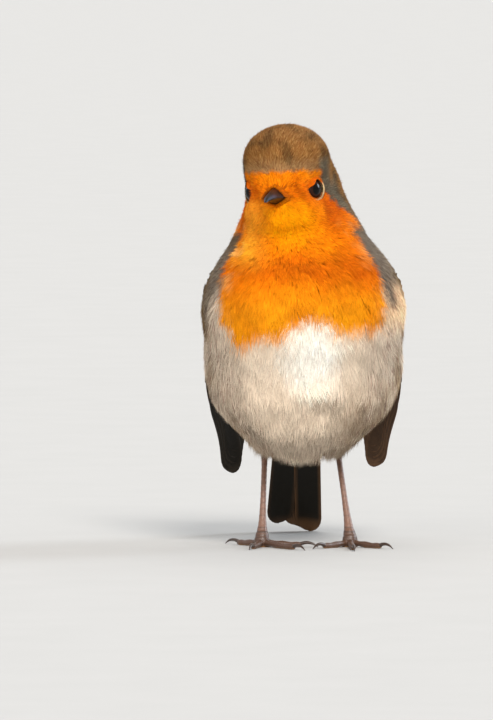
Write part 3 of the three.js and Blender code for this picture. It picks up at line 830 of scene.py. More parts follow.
BILL_ROOM_FRONT = -10.2  # the room that barbs leave free for the bill, in the head's frame
BILL_ROOM_HALF_WIDTH = 2.6
BILL_ROOM_MIDDLE = -0.6
BILL_ROOM_HALF_HEIGHT = 2.2


def outside_bill(points):
    """True for points that the bill doesn't fill, in front of the face."""
    local = into_head(points)
    in_width = np.abs(local[:, 0]) < BILL_ROOM_HALF_WIDTH
    in_height = np.abs(local[:, 2] - BILL_ROOM_MIDDLE) < BILL_ROOM_HALF_HEIGHT
    return ~((local[:, 1] < BILL_ROOM_FRONT) & in_width & in_height)


owner = belongs(roots, into_head(roots))
for name in sorted(set(owner)):
    piece = dress(name, owner == name)

# ---------------------------------------------------------------- eyes
# A glossy near-black ball in each orbit, with a dark brown iris and a wide pupil. Bare dark lids hold it,
# cut low towards the brow, and a ring of tiny feathers lies on them, pale behind and below the eye.
EYE_GRID = (40, 64)  # from the front to the back, and round
CORNEA_RISE = 0.22
CORNEA_SPREAD = 26  # degrees
PUPIL_EDGE = 27  # degrees from the eye's axis
IRIS_EDGE = 46
IRIS_BROWN = paint(44, 20, 8)
EYE_BLACK = paint(4, 3, 2)
LOOK = turned("Z", -8) @ EYE_AXIS  # the middle of the lids' opening, ahead of the ball's own axis
LID_RADIUS = 2.5
BROW_CUT = 0.38  # share of the radius that the brow hides
BROW_AT = 48  # degrees up from straight ahead
BROW_SPREAD = 36
CORNER_AT = 108
CORNER_RISE = 0.07  # this and the next two are shares of the radius
FRONT_RISE = 0.13
REAR_CUT = 0.05
CORNER_SPREAD = 18
FRONT_SPREAD = 42
REAR_SPREAD = 40
LID_OUTER = 2.9
LID_OVER = 0.16  # the lid's middle over the ball
LID_DARK = 0.03  # width of its bare dark rim
LID_THICK = 0.12
LID_RIM = paint(30, 19, 13)
RING_FEATHERS = 1100
RING_TURN = 2.8  # where the ring's feathers leave the ball's curve and run down to the face
RING_BROW = paint(206, 92, 4)
RING_PALE = paint(255, 216, 156)
RING_PALE_AT = 235  # degrees round the eye, low behind it
RING_PALE_REACH = (112, 80)  # degrees from there, over which the pale tone comes in
RING_BARB_WIDTH = 0.10

eye_finish = Finish("eye_wet", {"Roughness": 0.05, "Specular IOR Level": 0.14})
eye_tone = eye_finish.node("ShaderNodeAttribute", {"attribute_name": "plumage"}, {}, "Color")
eye_fleck = eye_finish.noise(6000)
eye_finish.feed("Base Color", eye_finish.mixed(eye_fleck * 0.35, eye_tone, (0.004, 0.003, 0.002)))

lid_finish = Finish("lid_skin", {"Roughness": 0.6, "Specular IOR Level": 0.1})
lid_tone = lid_finish.node("ShaderNodeAttribute", {"attribute_name": "plumage"}, {}, "Color")
lid_grain = lid_finish.noise(5000)
lid_finish.feed("Base Color", lid_finish.mixed(lid_grain * 0.3, lid_tone, (0.03, 0.014, 0.006)))
lid_finish.bump(lid_grain, 0.06)


def round_eye(way, out, around, radius):
    """Points about one eye's axis: so far out along it, and a radius at an angle round it, which is
    counted from straight ahead over the top."""
    axis = LOOK * way
    up = np.array([0, 0, 1.0])
    ahead = np.cross(up, axis) * (-1 if axis[0] > 0 else 1)
    ring = ahead * np.cos(around)[..., None] + up * np.sin(around)[..., None]
    return axis * out[..., None] + ring * radius[..., None]


def eye_opening(around):
    """The radius between the lids at each angle: a circle cut by the brow, with a corner over the back
    and a longer front."""
    degrees = np.degrees(around) % 360
    brow = BROW_CUT * np.exp(-(((degrees - BROW_AT) / BROW_SPREAD) ** 2))
    corner = CORNER_RISE * np.exp(-(((degrees - CORNER_AT) / CORNER_SPREAD) ** 2))
    ahead = FRONT_RISE * np.exp(-((np.minimum(degrees, 360 - degrees) / FRONT_SPREAD) ** 2))
    behind = REAR_CUT * np.exp(-(((degrees - 180) / REAR_SPREAD) ** 2))
    return LID_RADIUS * (1 - brow + corner + ahead - behind)


def ring_tone(around):
    """The ring's colour at each angle: pale below and behind the eye, orange-brown in front of it."""
    from_palest = np.abs(np.degrees(around) % 360 - RING_PALE_AT)
    return mix(RING_BROW, RING_PALE, fade(from_palest, *RING_PALE_REACH))


def over_ball(radius, rise):
    """How far out along the axis a place lies that is so far from it, and so far over the ball."""
    return np.sqrt(np.maximum((EYE_RADIUS + rise) ** 2 - radius**2, 0.05))


for name, way in (("left", np.ones(3)), ("right", MIRROR)):
    from_axis, around = np.meshgrid(np.linspace(0.02, math.pi - 0.02, EYE_GRID[0]),
                                    np.arange(EYE_GRID[1]) * 2 * math.pi / EYE_GRID[1], indexing="ij")
    degrees = np.degrees(from_axis)
    radius = EYE_RADIUS + CORNEA_RISE * np.exp(-((degrees / CORNEA_SPREAD) ** 2))
    ball = EYE_MIDDLE * way + round_eye(way, radius * np.cos(from_axis), around, radius * np.sin(from_axis))
    iris = mix(IRIS_BROWN, EYE_BLACK, fade(degrees, IRIS_EDGE - 6, IRIS_EDGE))
    iris = mix(EYE_BLACK, iris, fade(degrees, PUPIL_EDGE - 1.5, PUPIL_EDGE + 1.5))
    eye = make_piece(f"eye_{name}_ball", *shell(np.concatenate([from_head(ball), iris], -1)), eye_finish,
                     ["plumage"])
    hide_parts(f"eye_{name}")
    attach(eye, "root")

    # The lid's section is a flat loop from the opening's rim out under the face's feathers.
    section, around = np.meshgrid(np.arange(20) * 2 * math.pi / 20, np.arange(120) * 2 * math.pi / 120)
    rim = eye_opening(around)
    radius = rim + (LID_OUTER - rim) * (0.5 - 0.5 * np.cos(section))
    bead = 1 + 0.35 * np.abs(np.sin(around * 19)) * fade(np.cos(section), 0.4, 0.9)
    rise = LID_OVER + LID_THICK * np.sin(section) * bead
    lid = EYE_MIDDLE * way + round_eye(way, over_ball(radius, rise), around, radius)
    tone = mix(LID_RIM, 0.85 * ring_tone(around), fade(radius - rim, LID_DARK, LID_DARK + 0.04))
    points = np.concatenate([from_head(lid), tone], -1).reshape(-1, 6)
    faces = grid_faces(121, 20, True) % len(points)
    ring = make_piece(f"lid_{name}", points, outward(points[:, :3], faces), lid_finish, ["plumage"])
    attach(ring, "root")

    # The ring's feathers lie along it, from the front round to the back, above and below.
    start = np.radians(chance.uniform(-175, 175, RING_FEATHERS))
    sweep = np.radians(chance.uniform(16, 30, RING_FEATHERS)) * np.sign(start)
    off = chance.random(RING_FEATHERS)
    places = []
    for share, rise in ((0, 0.25), (0.5, 0.5), (1, 0.45)):
        angle = start + sweep * share
        radius = mix(eye_opening(angle) + 0.03, 3.5, off) + 0.1 * share
        out = over_ball(np.minimum(radius, RING_TURN), rise) + mix(0.15, 0.45, off)
        out = out - 0.5 * np.maximum(radius - RING_TURN, 0)
        places.append(from_head(EYE_MIDDLE * way + round_eye(way, out, angle, radius)))
    tone = mix(ring_tone(start), marking(places[0]), fade(off, 0.45, 0.85))
    tone = tone * chance.uniform(0.7, 1.1, (RING_FEATHERS, 1))
    up = unit(places[1] - from_head(EYE_MIDDLE * way))
    width = np.full(RING_FEATHERS, RING_BARB_WIDTH)
    points, faces, shading = barb_mesh(*places, up, width, [tone * 0.7, tone, tone], unwrap_place(places[0]))
    feathers = make_piece(f"eye_ring_{name}", points, faces, plumage_finish, ["plumage", "uv"], "OFBake",
                          shading)
    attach(feathers, "root")

# ---------------------------------------------------------------- bill
# A short slim bill of dark horn. The upper half has a ridge along its top, a nostril low on each side
# and a slightly hooked tip, and closes over the lower half along the gape.
BILL_ROOT = -7.5
BILL_TIP = -22.4
LOWER_SHORTER = 0.7
BILL_STEPS = 70
BILL_SIDES = 28
GAPE_HEIGHT = (-1.9, -1.35, -1.15, -1.3, -1.75)
BILL_HALF_WIDTH = (4.1, 3.1, 2.0, 1.25, 0.3)
UPPER_RISE = (3.6, 2.7, 1.9, 1.2, 0.3)
LOWER_DROP = (2.1, 1.75, 1.3, 0.85, 0.25)
GAPE_GAP = 0.04
NOSTRIL = np.array([2.35, -11.1, 0.25])
BILL_DARK = paint(16, 10, 8)
BILL_RIDGE = paint(66, 26, 10)
# A painted reflection of the sky, bluish grey, on the horn's sides near the tip.
BILL_SKY_SHEEN = paint(62, 74, 96)
BILL_OLIVE = paint(66, 36, 12)


def smooth_profile(stations):
    """A value that runs through evenly spaced stations as a smooth curve."""
    return lambda share: catmull(np.array(stations)[:, None])(share)[..., 0]


def catmull(points):
    """A smooth curve through points, even in step, as a function of 0 to 1."""
    points = np.asarray(points, float)
    padded = np.vstack([2 * points[0] - points[1], points, 2 * points[-1] - points[-2]])
    last = len(points) - 1

    def at(share):
        place = np.clip(np.asarray(share, float), 0, 1) * last
        k = np.minimum(place.astype(int), last - 1)
        t = (place - k)[..., None]
        a, b, c, d = (padded[k + step] for step in range(4))
        return b + 0.5 * t * (c - a + t * (2 * a - 5 * b + 4 * c - d + t * (3 * b - a - 3 * c + d)))

    return at


bill_finish = Finish("bill_horn", {"Roughness": 0.3, "Specular IOR Level": 0.16})
bill_tone = bill_finish.node("ShaderNodeAttribute", {"attribute_name": "plumage"}, {}, "Color")
stretch = bill_finish.node("ShaderNodeMapping", {}, {"Vector": bill_finish.place(), "Scale": (1, 0.2, 1)})
bill_grain = bill_finish.noise(3500, 4, stretch)
bill_finish.feed("Base Color", bill_finish.mixed(bill_grain * 0.6, bill_tone, (0.010, 0.006, 0.004)))
bill_finish.feed("Roughness", 0.25 + bill_grain * 0.25)
bill_finish.bump(bill_grain, 0.03)

def bill_form(share, around, way):
    """Points of the upper half (way 1) or lower half (way -1): a folded ridge over the gape. share
    runs from the root to the tip, and around from one side over the ridge to the other."""
    height = smooth_profile(UPPER_RISE if way > 0 else LOWER_DROP)(share)
    fold = np.sqrt(np.cos(around) ** 2 + 0.015)
    ridge = np.clip((1.0075 - fold) / 0.885, 0, 1) ** (0.9 if way > 0 else 0.6)
    x = smooth_profile(BILL_HALF_WIDTH)(share) * np.cos(around)
    tip = BILL_TIP if way > 0 else BILL_TIP + LOWER_SHORTER
    y = BILL_ROOT + (tip - BILL_ROOT) * share
    z = smooth_profile(GAPE_HEIGHT)(share) + way * (GAPE_GAP + height * ridge)
    hook = 0.35 * fade(share, 0.86, 1.0) if way > 0 else 0
    return np.stack([x, y, z - hook], -1)


for name, way in (("bill_upper", 1), ("bill_lower", -1)):
    share, around = np.meshgrid(np.linspace(0, 1, BILL_STEPS), np.linspace(0, math.pi, BILL_SIDES),
                                indexing="ij")
    local = bill_form(share, around, way)
    to_nostril = np.minimum(*[np.linalg.norm((local - NOSTRIL * side) * [1, 0.6, 1.3], axis=-1)
                              for side in (1, MIRROR)])
    if way > 0:
        local = local * (1 - [0.13, 0, 0.10] * np.exp(-((to_nostril / 0.55) ** 2))[..., None])
    along_edge = fade(np.sin(around), 0.32, 0.05)
    if way > 0:
        tone = mix(BILL_DARK, BILL_RIDGE, fade(np.sin(around), 0.8, 0.98) * fade(share, 0.7, 0.3))
        # The sides near the tip are painted bluish grey, a painted reflection of the sky on the horn.
        sky_sheen = fade(share, 0.5, 0.7) * fade(np.abs(np.sin(around) - 0.6), 0.35, 0.1)
        tone = mix(tone, BILL_SKY_SHEEN, 0.6 * sky_sheen)
        tone = mix(tone, BILL_OLIVE, 0.5 * along_edge * fade(share, 0.8, 0.4))
        # The nostril's hollow is painted black, as its shade.
        tone = mix(tone, EYE_BLACK, fade(to_nostril, 0.5, 0.25))
    else:
        tone = mix(BILL_OLIVE, BILL_DARK, fade(share, 0.35, 0.85))
        # Its edges along the gape are painted dark, as the shade between the two halves.
        tone = mix(tone, BILL_DARK, 0.9 * fade(np.sin(around), 0.16, 0.0))
    rings = np.concatenate([from_head(local), tone], -1)
    half_bill = make_piece(name + "_horn", *shell(rings), bill_finish, ["plumage"])
    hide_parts(name)
    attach(half_bill, "root")

# Stiff dark bristles stand along the gape on both sides.
BRISTLES = 22
BRISTLE_LENGTH = 2.6
BRISTLE_WIDTH = 0.09
share = (np.arange(BRISTLES) + 0.5) / BRISTLES
way = np.where(np.arange(BRISTLES) % 2, 1.0, -1.0)
above_gape = 0.5 * chance.random(BRISTLES)
local = np.stack([way * (2.6 + 1.5 * share), -9.9 + 2.6 * share, -1.0 - 0.5 * share + above_gape], -1)
forwards = -0.65 + 0.3 * chance.standard_normal(BRISTLES) * 0.3
downwards = -0.15 - 0.2 * chance.random(BRISTLES)
aim = unit(np.stack([way * 0.85, forwards, downwards], -1))
root = from_head(local)
tip = from_head(local + aim * BRISTLE_LENGTH)
bow = from_head(local + aim * BRISTLE_LENGTH * 0.5 + [0, 0, 0.15])
up = np.tile(HEAD_POSE @ [0, 0, 1.0], (BRISTLES, 1))
dark = np.tile(paint(34, 22, 14), (BRISTLES, 1))
points, faces, shading = barb_mesh(root, bow, tip, up, np.full(BRISTLES, BRISTLE_WIDTH), [dark] * 3,
                                   unwrap_place(root))
bristles = make_piece("bill_bristles", points, faces, plumage_finish, ["plumage", "uv"], "OFBake", shading)
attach(bristles, "root")

# Short feathers of the face lie forward over the bill's root, so that the horn comes out from under them.
ROOT_FEATHERS = 520  # over each half of the bill
ROOT_FEATHER_WIDTH = 0.14
ROOT_REACH = {"upper": 0.13, "lower": 0.09}  # how far over the horn, as a share of its length
for name, way in (("upper", 1), ("lower", -1)):
    # Each starts on the face just behind the line where the horn comes out, and ends on the horn.
    around = math.pi * np.linspace(0.02, 0.98, ROOT_FEATHERS)
    trial = np.linspace(0, 0.6, 60)
    seen = bill_form(trial[None] + 0 * around[:, None], around[:, None] + 0 * trial, way)
    leaves = trial[(plumage_distance(from_head(seen)) > -0.1).argmax(1)]
    back = from_head(bill_form(leaves, around, way))
    aside = unit(back - from_head(bill_form(leaves, around, way) * [0, 1, 0] + [0, 0, -1.3]))
    behind = HEAD_POSE @ [0, 1.0, 0] * chance.uniform(0.2, 1.6, (ROOT_FEATHERS, 1))
    root = settle(back + aside * 0.5 + behind, -0.2)
    ahead = chance.uniform(0.02, ROOT_REACH[name], ROOT_FEATHERS)
    turn = np.clip(around + 0.10 * chance.standard_normal(ROOT_FEATHERS), 0.05, math.pi - 0.05)
    tip = from_head(bill_form(leaves + ahead, turn, way)) + aside * 0.16
    middle = mix(root, tip, 0.55) + aside * 0.28
    tone = marking(root) * chance.uniform(0.5, 1.1, (ROOT_FEATHERS, 1))
    points, faces, shading = barb_mesh(root, middle, tip, aside, np.full(ROOT_FEATHERS, ROOT_FEATHER_WIDTH),
                                       [tone * 0.8, tone, tone * 0.9], unwrap_place(root))
    fringe = make_piece(f"bill_root_feathers_{name}", points, faces, plumage_finish, ["plumage", "uv"],
                        "OFBake", shading)
    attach(fringe, "root")

# ---------------------------------------------------------------- wings
# Folded wings. Each feather is a thin curved vane with a shaft, and lies over its outer neighbour like
# a slate: primaries, then secondaries, the three tertials, and rows of coverts over their roots.
WING_CLEAR = 0.4
WING_BULGE = 2.2
WING_LOWER = [  # the folded wing's lower edge, from the shoulder to the tip
    (21, 1, 65), (24.6, 8, 56), (25.1, 17, 45), (24.2, 26.5, 35.5), (22, 36.5, 25.5), (20, 45, 16.6),
]
WING_UPPER = [
    (15, 5, 75), (15, 14, 70.5), (13, 24, 63.5), (11, 33, 54), (10.8, 40.5, 40), (13.4, 47.5, 17),
]
WING_TIPS = {  # each wing's side, how far its tip is raised, and how far it bows outwards near it
    "left": (np.ones(3), 1.6, 1.3),
    "right": (MIRROR, 0, 0.5),
}
BOW_AT = 0.78  # along the wing
BOW_REACH = 0.25
SHEET_PUSHES = 3  # rounds of pushing the sheet clear of the plumage
SHEET_STEPS = 90
SHEET_ACROSS = 44
SHEET_EDGE = 0.1  # how far the sheet is carried past its edges
VANE_STEPS = 26
VANE_ACROSS = np.array([-1, -0.92, -0.7, -0.4, -0.12, -0.04, 0.04, 0.12, 0.4, 0.7, 0.92, 1])
VANE_THICK = 0.14
LAYER_STEP = 0.55  # between the layers of feathers
SHAFT_RISE = 0.10
FEATHER_BROWN = paint(82, 62, 40)
FEATHER_OLIVE = paint(104, 80, 50)
FEATHER_EDGE = paint(128, 98, 62)
SHAFT_BROWN = paint(50, 36, 24)
# The undersides are painted in shade, and a lighter, warmer tone is painted light on the lit wing.
UNDER_SHADED = paint(26, 22, 15)
UNDER_EDGE_SHADED = paint(50, 43, 34)
UNDER_LIT = paint(104, 76, 54)


def wing_sheet(way, raised, bow):
    """The folded wing's curved sheet, from the wrist at s 0 to the tip at s 1, and from its lower edge
    at t 0 to its upper edge at t 1. Each place is the mix of the two edges' curves, bulged outwards,
    bowed near the tip and pushed clear of the plumage. Gives a function of s, t and a height."""
    s, t = np.meshgrid(np.linspace(0, 1, SHEET_STEPS),
                       np.linspace(-SHEET_EDGE, 1 + SHEET_EDGE, SHEET_ACROSS), indexing="ij")
    grid = catmull(WING_LOWER)(s) * (1 - t)[..., None] + catmull(WING_UPPER)(s) * t[..., None]
    grid[..., 0] += WING_BULGE * 4 * t * (1 - t) * (1 - s**2)
    grid[..., 2] += raised * s**3
    grid[..., 0] += bow * np.exp(-(((s - BOW_AT) / BOW_REACH) ** 2))
    grid = grid * way
    for _ in range(SHEET_PUSHES):
        rise, here = slope(grid)
        push = np.maximum(WING_CLEAR - here, 0) / (rise**2).sum(-1)
        grid = grid + rise * push[..., None]
    normal = unit(np.cross(np.gradient(grid, axis=0), np.gradient(grid, axis=1))) * way[0]

    def at(s, t, height):
        row = np.clip(s, 0, 1) * (SHEET_STEPS - 1)
        across = (np.clip(t, -SHEET_EDGE, 1 + SHEET_EDGE) + SHEET_EDGE) / (1 + 2 * SHEET_EDGE)
        column = across * (SHEET_ACROSS - 1)
        i = np.minimum(row.astype(int), SHEET_STEPS - 2)
        j = np.minimum(column.astype(int), SHEET_ACROSS - 2)
        a, b = (row - i)[..., None], (column - j)[..., None]
        blend = lambda g: ((g[i, j] * (1 - b) + g[i, j + 1] * b) * (1 - a)
                           + (g[i + 1, j] * (1 - b) + g[i + 1, j + 1] * b) * a)
        return blend(grid) + blend(normal) * height[..., None]

    return at


def vane(at, span, root, tip, half_width, lift, tilt, tones, tip_round=0.16, narrow=0.45, pale_end=0.04):
    """One feather: a closed blade on a sheet, from its root to its tip place in (s, t).

    Its half width grows from the root and closes along a quarter ellipse at the tip. It arches across,
    tilts so that it overlaps its neighbour, and has a raised shaft. span turns mm into t. Below, a
    share of its length at the tip has the edge's colour.
    """
    share = (1 - np.cos(np.linspace(0, math.pi, VANE_STEPS))) / 2
    width = half_width * (narrow + (1 - narrow) * fade(share, 0, 0.4))
    width = width * np.sqrt(np.maximum(1 - np.maximum(0, (share - 1 + tip_round) / tip_round) ** 2, 0.002))
    along, across = np.meshgrid(share, VANE_ACROSS, indexing="ij")
    s = root[0] + (tip[0] - root[0]) * along
    middle = root[1] + (tip[1] - root[1]) * along
    t = middle + across * width[:, None] / span(s)
    shaft = SHAFT_RISE * np.exp(-((across / 0.09) ** 2)) * (1 - 0.6 * along)
    height = lift(s) + tilt * across + 0.12 * (1 - across**2)
    over = at(s, t, height + VANE_THICK / 2 * (1 - 0.6 * np.abs(across)) + shaft)
    under = at(s, t, height - VANE_THICK / 2 * (1 - 0.6 * np.abs(across)) - 0.6 * shaft)
    base, edge, end, below, below_edge = tones
    top = mix(base, edge, 0.8 * fade(np.abs(across), 0.55, 0.95))
    top = mix(top, end, fade(along, 0.93, 0.99))
    top = mix(top, SHAFT_BROWN, fade(np.abs(across), 0.1, 0.03))
    pale = np.maximum(fade(np.abs(across), 0.8, 1.0), fade(along, 1 - 1.6 * pale_end, 1 - 0.6 * pale_end))
    bottom = mix(below, below_edge, pale)
    uv = np.stack([along, 0.5 + 0.5 * across], -1)
    upper = np.concatenate([over, top, uv], -1)
    lower = np.concatenate([under, bottom, uv], -1)
    return shell(np.concatenate([upper, lower[:, ::-1]], 1))


def vane_finish(name, roughness):
    """Feather vanes: fine barbs run out aslant from the shaft, as colour and relief."""
    finish = Finish(name, {"Roughness": roughness, "Specular IOR Level": 0.15})
    tone = finish.node("ShaderNodeAttribute", {"attribute_name": "plumage"}, {}, "Color")
    chart = finish.node("ShaderNodeUVMap", {"uv_map": "vane"}, {})
    parts = finish.node("ShaderNodeSeparateXYZ", {}, {0: chart})
    across = Value(finish, parts.socket.node.outputs[1])
    slant = (across - 0.5).math("ABSOLUTE", across - 0.5)
    wave = ((parts - slant * 0.16) * 620).math("SINE", (parts - slant * 0.16) * 620)
    barbs = wave * 0.5 + 0.5
    patch = finish.noise(420, 3)
    shade = finish.mixed(patch, (0.72, 0.72, 0.72), (1.22, 1.2, 1.16))
    toned = finish.mixed(1.0, tone, shade, "MULTIPLY")
    finish.feed("Base Color", finish.mixed(barbs * 0.28, toned, (0.02, 0.015, 0.01)))
    finish.bump(barbs, 0.035)
    return finish


wing_finish = vane_finish("wing_vane", 0.6)


def tones_of(dark, seed, underside_lit):
    """A vane's five colours: face, edge, tip, underside and its edge, each feather slightly its own; the
    underside's are painted shade, made lighter and warmer as painted light by underside_lit.
    """
    own = 1 + 0.10 * math.sin(seed * 2.4)
    base = mix(FEATHER_OLIVE, FEATHER_BROWN, dark) * own
    return (base, FEATHER_EDGE * own, mix(base, FEATHER_EDGE, 0.5), mix(UNDER_SHADED, UNDER_LIT, 0.5 * underside_lit),
            mix(UNDER_EDGE_SHADED, UNDER_LIT, underside_lit))


def level(height, steps=()):
    """A height over the sheet that rises by one layer past each of the given places in s."""
    return lambda s: height + sum(LAYER_STEP * fade(s, start, start + 0.1) for start in steps) + 0 * s


# Rows of the wing: how many feathers, the root and tip places in (s, t) of the row's first and last
# feather, half width in mm, the heights of the first and last over their layer, the tilt, and how dark.
FLIGHT_ROWS = {
    "primaries": (8, (0.46, 0.10), (1.0, 0.36), (0.50, 0.50), (0.88, 0.72), 3.8, (0.08, 0.40), 0.10, 0.9),
    "secondaries": (6, (0.38, 0.16), (0.74, 0.22), (0.38, 0.55), (0.80, 0.62), 3.3, (0.1, 0.35), 0.12, 0.7),
    "tertials": (3, (0.34, 0.62), (0.80, 0.60), (0.34, 0.88), (0.68, 0.92), 3.7, (0.4, 0.55), 0.12, 0.5),
}
COVERT_ROWS = {
    "primary_coverts": (5, (0.34, 0.10), (0.56, 0.17),
                        (0.34, 0.22), (0.56, 0.32), 1.8, (0.0, 0.1), 0.10, 0.8),
    "greater_coverts": (9, (0.22, 0.10), (0.47, 0.20),
                        (0.22, 0.92), (0.44, 0.95), 2.3, (0.1, 0.15), 0.12, 0.5),
    "median_coverts": (9, (0.12, 0.08), (0.32, 0.14),
                       (0.12, 0.92), (0.30, 0.95), 2.2, (0.25, 0.3), 0.12, 0.3),
    "lesser_coverts": (8, (0.02, 0.08), (0.21, 0.10),
                       (0.02, 0.92), (0.20, 0.94), 2.3, (0.35, 0.4), 0.10, 0.1),
}


WING_STEPS = {"coverts": (0.25, 0.42), "secondaries": (0.42,), "primaries": ()}


def vane_row(at, span, row, round_tip, steps, underside_lit):
    """The feathers of one row, with places and heights stepped evenly from the first to the last."""
    count, first_root, first_tip, last_root, last_tip, half, heights, tilt, dark = row
    for k, share in enumerate(np.linspace(0, 1, count)):
        root = mix(first_root, last_root, share)
        tip = mix(first_tip, last_tip, share)
        lift = level(heights[0] + (heights[1] - heights[0]) * share, steps)
        yield vane(at, span, root, tip, half, lift, tilt, tones_of(dark, k + count, underside_lit), round_tip)


# The shoulder's small feathers lie over each wing's front and upper rims, in the body's colours.
RIM_TUFTS = 900
RIM_RISE = 1.55  # over the wing's sheet at their roots
RIM_TOP_SHARE = 0.55  # of the tufts, which lie over the upper rim; the others lie over the front one
RIM_TOP_REACH = 0.62  # along the wing
RIM_TOP_EDGE = 1.05  # across the wing, just past its upper edge
RIM_TOP_BAND = 0.16
RIM_FRONT_BAND = 0.09
RIM_LENGTHS = (0.07, 0.12)  # along the wing
RIM_BARB_WIDTH = 0.26
for name, (way, raised, bow) in WING_TIPS.items():
    at = wing_sheet(way, raised, bow)
    stations = np.linspace(0, 1, 30)
    spans = np.linalg.norm(catmull(WING_UPPER)(stations) - catmull(WING_LOWER)(stations), axis=-1)
    span = lambda s: np.interp(s, stations, spans)
    groups = {"primaries": ["primaries"], "secondaries": ["secondaries", "tertials"],
              "coverts": list(COVERT_ROWS)}
    for node, rows in groups.items():
        feathers = []
        for row in rows:
            round_tip = {"primaries": 0.2, "secondaries": 0.5}.get(row, 0.3)
            # Only the left wing's undersides are painted lit.
            feathers += vane_row(at, span, {**FLIGHT_ROWS, **COVERT_ROWS}[row], round_tip, WING_STEPS[node],
                                 1 if way[0] > 0 else 0)
        piece = make_piece(f"wing_{name}_{node}_vanes", *joined(feathers), wing_finish,
                           ["plumage", "uv"], "vane")
        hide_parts(f"wing_{name}_{node}")
        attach(piece, "root")

    along = np.repeat(chance.random(RIM_TUFTS), BARBS)
    draw = np.repeat(chance.random(RIM_TUFTS), BARBS)
    spray = 0.02 * chance.standard_normal((3, len(along)))
    over_top = along < RIM_TOP_SHARE
    s = np.where(over_top, 0.02 + RIM_TOP_REACH * along / RIM_TOP_SHARE, RIM_FRONT_BAND * draw) + spray[0]
    up_front = (along - RIM_TOP_SHARE) / (1 - RIM_TOP_SHARE)
    t = np.where(over_top, RIM_TOP_EDGE - RIM_TOP_BAND * draw, up_front) + spray[1]
    lift = RIM_RISE - 0.5 * draw - 0.75 * fade(s, 0.16, 0.04)
    length = np.repeat(chance.uniform(*RIM_LENGTHS, RIM_TUFTS), BARBS)
    length = length * chance.uniform(0.8, 1.1, len(along))
    drift = -0.03 * over_top + 0.04 * spray[2]
    root = at(s, t, lift - 1.0)
    middle = at(s + 0.5 * length, t + drift / 2, lift - 0.15)
    tip = at(s + length, t + drift, lift - 0.35)
    tone = marking(root) * (1 + 0.14 * chance.standard_normal((len(root), 1)))
    up = unit(slope(middle)[0])
    uv = np.repeat(unwrap_place(root[::BARBS]), BARBS, 0)
    points, faces, shading = barb_mesh(root, middle, tip, up, np.full(len(root), RIM_BARB_WIDTH),
                                       [tone * 0.7, tone, tone * 1.08], uv)
    shoulder = make_piece(f"coat_shoulder_{name}", points, faces, plumage_finish, ["plumage", "uv"],
                          "OFBake", shading)
    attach(shoulder, "root")

# ---------------------------------------------------------------- tail
# Twelve long feathers, closed into two stacks. The middle pair lies on top, the others are under it in
# turn, and the stacks end a little apart, which leaves a notch.
TAIL_ROOT = np.array([-1, 31, 42.0])
TAIL_TIP = np.array([-2.2, 72, 1.7])
TAIL_HALF = (4.4, 5.0, 5.8, 6.6, 7.4)
TAIL_FEATHERS = 12
TAIL_FEATHER_HALF = 3.45
TAIL_SHORT_SIDE = 0.955
TAIL_TOP = paint(92, 70, 44)
TAIL_TOP_EDGE = paint(118, 90, 58)
# The underside is painted in shade, and its edges and tips lighter brown as painted light shining through
# them.
TAIL_UNDER_SHADED = paint(17, 14, 7)
TAIL_UNDER_TIP_LIT = paint(118, 84, 54)


def on_tail(s, t, height):
    """The tail's sheet: a line from root to tip, spread sideways by a half width, and arched."""
    place = TAIL_ROOT + (TAIL_TIP - TAIL_ROOT) * s[..., None]
    half = smooth_profile(TAIL_HALF)(s)
    run = unit(TAIL_TIP - TAIL_ROOT)
    over = np.cross(np.array([1.0, 0, 0]), run)
    over = over * (1 if over[2] > 0 else -1)
    place = place + np.stack([half * t, 0 * t, -0.6 * t**2], -1)
    return place + over * height[..., None]


tail_vane_finish = vane_finish("tail_vane", 0.55)
tail_span = lambda s: smooth_profile(TAIL_HALF)(s)
feathers = []
for k in range(TAIL_FEATHERS):
    out = (k - (TAIL_FEATHERS - 1) / 2) / ((TAIL_FEATHERS - 1) / 2)  # -1 to 1 over the tail
    reach = TAIL_SHORT_SIDE if out < 0 else 1.01
    reach += 0.02 * abs(out) ** 2
    lift = level(0.5 - 0.85 * abs(out))
    own = 1 + 0.08 * math.sin(k * 2.1)
    # On the bird's left half the underside's edges and tips are painted lighter and over a longer tip, as
    # light shining through them.
    below_edge = mix(TAIL_UNDER_TIP_LIT, TAIL_UNDER_SHADED, 0.75 if out < 0 else 0.3)
    tones = TAIL_TOP * own, TAIL_TOP_EDGE, TAIL_TOP_EDGE, TAIL_UNDER_SHADED * own, below_edge
    feathers.append(vane(on_tail, tail_span, (0.0, 0.45 * out), (reach, 0.53 * out), TAIL_FEATHER_HALF, lift,
                         -0.12 if out > 0 else 0.12, tones, 0.1, 0.6, 0.065 if out > 0 else 0.03))
tail = make_piece("tail_vanes", *joined(feathers), tail_vane_finish, ["plumage", "uv"], "vane")
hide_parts("tail")
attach(tail, "root")

